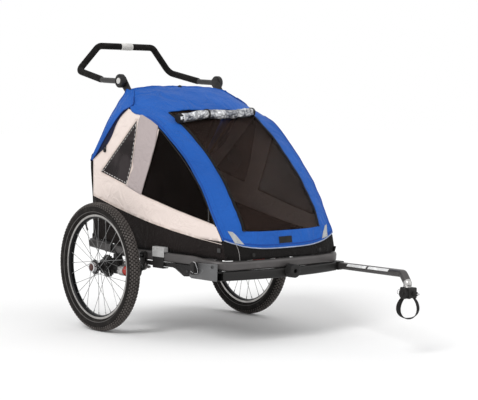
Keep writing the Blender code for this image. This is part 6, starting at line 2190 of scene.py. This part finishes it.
def dress_gusset():
    """The cloth between the blue strip and the side cloth's rear edge, coloured near-black navy as
    painted shade in that recess.
    """
    cream_edge = smooth_outline(CREAM_REAR, 6)
    rings = []
    for t in spread(0, 1, 36):
        s = 2 + 7 * t
        inner = strip_point(s, 1)
        k = t * (len(cream_edge) - 1)
        i = min(int(k), len(cream_edge) - 2)
        x = cream_edge[i][0] + (cream_edge[i + 1][0] - cream_edge[i][0]) * (k - i)
        z = cream_edge[i][1] + (cream_edge[i + 1][1] - cream_edge[i][1]) * (k - i)
        outer = Vector((x, side_y(x), z))
        rings.append([inner, inner.lerp(outer, 0.5) + Vector((0.002, -0.007, -0.002)), outer])
    points = [p for ring in rings for p in ring]
    mesh = open_mesh("gusset", points, quads(len(rings), 3))
    lay_out(mesh, lambda k: (points[k].x + points[k].z, points[k].y + 0.05 * (k % 3)))
    for ob in pair("rear_gusset", mesh, NAVY_SHADE, "chassis", (), 60):
        thickened(ob, GUSSET_THICK)
        flatten(ob)


# Seat


def stuffed(mesh, limit):
    """A pad puffed by a short cloth simulation, each point moving no further than the limit."""
    ob = linked("pad", mesh)
    even = ob.modifiers.new("even", "REMESH")
    even.mode = "VOXEL"
    even.voxel_size = 0.0060
    settled(ob)
    start = [v.co.copy() for v in ob.data.vertices]
    filling = ob.modifiers.new("filling", "CLOTH")
    filling.settings.use_pressure = True
    filling.settings.uniform_pressure_force = PAD_PRESSURE
    filling.settings.effector_weights.gravity = 0
    filling.settings.quality = 5
    filling.point_cache.frame_start = 1
    filling.point_cache.frame_end = PAD_FRAMES
    for step in range(1, PAD_FRAMES + 1):
        bpy.context.scene.frame_set(step)
    view = bpy.context.evaluated_depsgraph_get()
    swollen = [v.co.copy() for v in ob.evaluated_get(view).to_mesh().vertices]
    ob.modifiers.clear()
    bpy.context.scene.frame_set(1)
    for vertex, a, b in zip(ob.data.vertices, start, swollen):
        move = b - a
        vertex.co = a + move * min(1, limit / max(move.length, 1e-9))
    softer = ob.modifiers.new("softer", "SUBSURF")
    softer.levels = 1
    softer.render_levels = 1
    settled(ob)
    mesh = ob.data
    bpy.data.objects.remove(ob, do_unlink=True)
    return mesh


def cushion(length, width, height, crown, place):
    """A pad's starting form: two crowned seats and a channel; place puts (u, v, w) in space."""
    us = spread(-1, 1, 26)
    vs = spread(-1, 1, 34)
    top = []
    low = []
    for a in us:
        upper = []
        lower = []
        for b in vs:
            pull = 1 - 0.035 * (a * a) * (b * b)
            seat = 1 - min(1, abs(abs(b) - 0.5) * 2) ** 4
            tucks = sum(math.exp(-((a - c) / 0.05) ** 2) for c in (-0.36, 0.30))
            channel = math.exp(-(b / 0.035) ** 2) * 0.35 + tucks * 0.30 * seat
            rim = 0.35 * (max(abs(a), abs(b)) > 0.97)
            rise = height * (1 - rim) + crown * (1 - a ** 4) * seat - height * channel
            upper.append(place(a * length / 2 * pull, b * width / 2 * pull, rise))
            lower.append(place(a * length / 2 * 0.985 * pull, b * width / 2 * 0.985 * pull, 0))
        top.append(upper)
        low.append(lower)
    count = len(vs)
    size = len(us) * count
    points = [p for row in top for p in row] + [p for row in low for p in row]
    faces = []
    for a, b, c, d in quads(len(us), count):
        faces += [(a, b, c, d), (size + a, size + d, size + c, size + b)]
    rim = [(0, j) for j in range(count)] + [(i, count - 1) for i in range(1, len(us))]
    rim += [(len(us) - 1, j) for j in range(count - 2, -1,
                                            -1)] + [(i, 0) for i in range(len(us) - 2, 0, -1)]
    for (i, j), (k, m) in zip(rim, rim[1:] + rim[:1]):
        a = i * count + j
        b = k * count + m
        faces.append((a, size + a, size + b, b))
    return solid(points, faces)


def back_place(t, b, depth):
    """A point of the seat back: t up its height, b across, depth in front of its rear face."""
    foot = Vector((SEAT_BACK_FOOT[0], 0, SEAT_BACK_FOOT[1]))
    head = Vector((SEAT_BACK_HEAD[0], 0, SEAT_BACK_HEAD[1]))
    front = Vector((head.z - foot.z, 0, foot.x - head.x)).normalized()
    return foot + (head - foot) * t + front * depth + Vector((0, b, 0))


def dress_seat():
    base = cushion(0.326, 2 * SEAT_HALF - 0.012, 0.0330, 0.0110, lambda u, v,
                   w: Vector((0.085 + u, v, 0.3195 + w)))
    pad = piece("seat_cushion", stuffed(base, 0.006), SEAT_CLOTH, "chassis",
                ("seat_base",), 80)
    height = math.dist(SEAT_BACK_FOOT, SEAT_BACK_HEAD)

    def place(u, v, w):
        t = min(1, max(0, 0.5 + u / height))
        drop = 0.05 * max(0, t - 0.78) / 0.22 * min(1, abs(abs(v) / SEAT_HALF - 0.5) * 2) ** 3
        narrow = 1 - 0.10 * max(0, t - 0.6) / 0.4
        return back_place(t - drop, v * narrow, 0.0012 + w)

    back = cushion(height - 0.006, 2 * SEAT_HALF - 0.012, 0.0155, 0.0085, place)
    pad = piece("seat_back_pad", stuffed(back, 0.005), SEAT_CLOTH, "back_frame",
                ("seat_back",), 80)
    flatten(pad)
    dress_harness()


def dress_harness():
    on_back = SEAT_BACK_THICK + 0.010 + 0.0018
    middle = 0.118

    def on_pad(t, across, depth):
        return back_place(t, middle + across, on_back + depth)

    def webbing(line, side):
        return strap(smooth_line(line, 8), *STRAP_SIZE, side)

    straps = []
    for side in (1, -1):
        straps.append(webbing([on_pad(t, side * across, depth) for t, across,
                               depth in ((0.86, 0.050, -0.006), (0.80, 0.046, 0.001),
                                         (0.66, 0.043, 0.0025), (0.52, 0.038, 0.003),
                                         (0.38, 0.024, 0.004), (0.24, 0.009, 0.004))], (0, 1, 0)))
        straps.append(webbing([on_pad(t, side * across, depth) for t, across, depth in (
            (0.06, 0.085, -0.004), (0.10, 0.060, 0.008), (0.19, 0.020, 0.006))], (0, 0.3, 1)))
    straps.append(webbing([on_pad(0.20, 0, 0.005), on_pad(0.10, 0, 0.010),
                           Vector((-0.030, middle, 0.3720))], (0, 1, 0)))
    buckle = sweep([on_pad(0.155, 0, 0.008), on_pad(0.262, 0, 0.008)],
                   round_box(0.044, 0.0100, 0.004, 4),
                   swell=lambda t: 1 - 0.16 * abs(2 * t - 1) ** 3)
    press = turned([(0.0105, 0), (0.0105, 0.0012), (0.0095, 0.0018)], on_pad(0.205, 0, 0.0128),
                   back_place(0, 0, 1) - back_place(0, 0, 0), 28)
    pieces = pair("harness_straps", joined(*straps), WEBBING, "back_frame", ("harness",),
                  50)
    pieces += pair("harness_buckle", bevelled(buckle, 0.0012), BLACK_PLASTIC, "back_frame")
    pieces += pair("buckle_press", press, DARK_RED, "back_frame")
    for ob in pieces:
        flatten(ob)


# Pieces whose shape stays as it is in the frame, with their finish


KEPT = {"rear_cross_tube": FRAME_GREY, "floor_cross_tube": FRAME_GREY, "brake_pedal": BLACK_PLASTIC,
        "tub": BLACK_PLASTIC, "roof_cross_tube": BLACK_METAL, "rear_frame": BLACK_METAL,
        "side_bow_left": BLACK_METAL, "side_bow_right": BLACK_METAL, "brake_pawl_left": DARK_STEEL,
        "brake_pawl_right": DARK_STEEL}


def dress_kept():
    for name, finish in KEPT.items():
        mesh = cad[name].data
        mesh.materials.clear()
        mesh.materials.append(finish)


# Small trim


def dress_trim():
    knob = turned([(0.0050, 0), (0.0080, 0.0012), (0.0080, 0.0052), (0.0055, 0.0068)],
                  (-0.066, SIDE_Y + 0.0006, 0.698), ALONG_Y, 28)
    loop = [Vector((-0.066 + 0.007 * math.cos(t), SIDE_Y + 0.0030, 0.7120 + 0.010 * math.sin(t)))
            for t in turns(28)]
    stopper = joined(knob, sweep(loop, circle(0.0016, 8), side=ALONG_Y, closed=True))
    squashed_pair("cord_stopper", stopper, SOFT_BLACK)
    snap = bevelled(box((0.598, 0.616), (0.2722, 0.2752), (0.3440, 0.3600)), 0.0012)
    squashed_pair("skirt_snap", snap, GREY_PLASTIC)
    path = smooth_line([(0.6470, -0.2340, 0.3840), (0.6590, -0.2290, 0.3620),
                        (0.6640, -0.2255, 0.3380), (0.6640, -0.2230, 0.3180)], 8)
    cord = piece("elastic_cord", sweep(path, circle(0.0008, 10), side=ALONG_Y), GREY_CORD, "cage")
    path = [point + Vector((AXLE_X, 0, 0)) for point in path]
    length = distances(path)[-1]
    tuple(path[0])
    round_snap = turned([(0.0065, 0), (0.0072, 0.0010), (0.0060, 0.0026), (0.0030, 0.0030)],
                        (0.6718, 0.1640, 0.3345), (1, 0, 0), 28)
    pair("round_snap", round_snap, SOFT_BLACK, "cage")


# Room


def set_stage():
    far = FLOOR_HALF
    mesh = open_mesh("floor", [(-far, -far, 0), (far, -far, 0), (far, far, 0), (-far, far, 0)],
                     [(0, 1, 2, 3)])
    floor = linked("floor", mesh)
    paper = Finish("paper", (0.99, 0.99, 0.99), 0.9, {"Specular IOR Level": 0.0})
    fibre = paper.grain(3.0, 3)
    shade = paper.blend(fibre, (0.995, 0.995, 0.995), (0.985, 0.985, 0.985))
    mesh.materials.append(paper.feed(Base_Color=shade))

    # White where the camera sees the room, and a softer light on the trailer
    world = bpy.data.worlds.new("studio")
    bpy.context.scene.world = world
    world.use_nodes = True
    tree = world.node_tree
    tree.nodes.clear()
    soft, plain = [add_node(tree, "ShaderNodeBackground", None,
                            {"Color": WHITE, "Strength": strength}).outputs[0]
                   for strength in (ROOM_LIGHT, 1.0)]
    ray = add_node(tree, "ShaderNodeLightPath").outputs
    seen = ray["Is Camera Ray"]
    for kind in ("Is Glossy Ray", "Is Transmission Ray"):
        seen = add_node(tree, "ShaderNodeMath", {"operation": "MAXIMUM"},
                        {0: seen, 1: ray[kind]}).outputs[0]
    mix = add_node(tree, "ShaderNodeMixShader", None, {0: seen, 1: soft, 2: plain}).outputs[0]
    add_node(tree, "ShaderNodeOutputWorld", None, {0: mix})

    for name, turn, power, size in LAMPS:
        lamp = bpy.data.lights.new(name, "SUN")
        lamp.energy = power
        lamp.angle = math.radians(size)
        ob = linked(name, lamp)
        ob.rotation_euler = [math.radians(a) for a in turn]
    bpy.context.scene.view_settings.view_transform = "Standard"


place_camera()
dress_kept()
dress_wheels()
dress_frame()
dress_drawbar()
dress_push_bar()
dress_cover()
dress_roll()
dress_sides()
dress_rear()
dress_seat()
dress_trim()
set_stage()
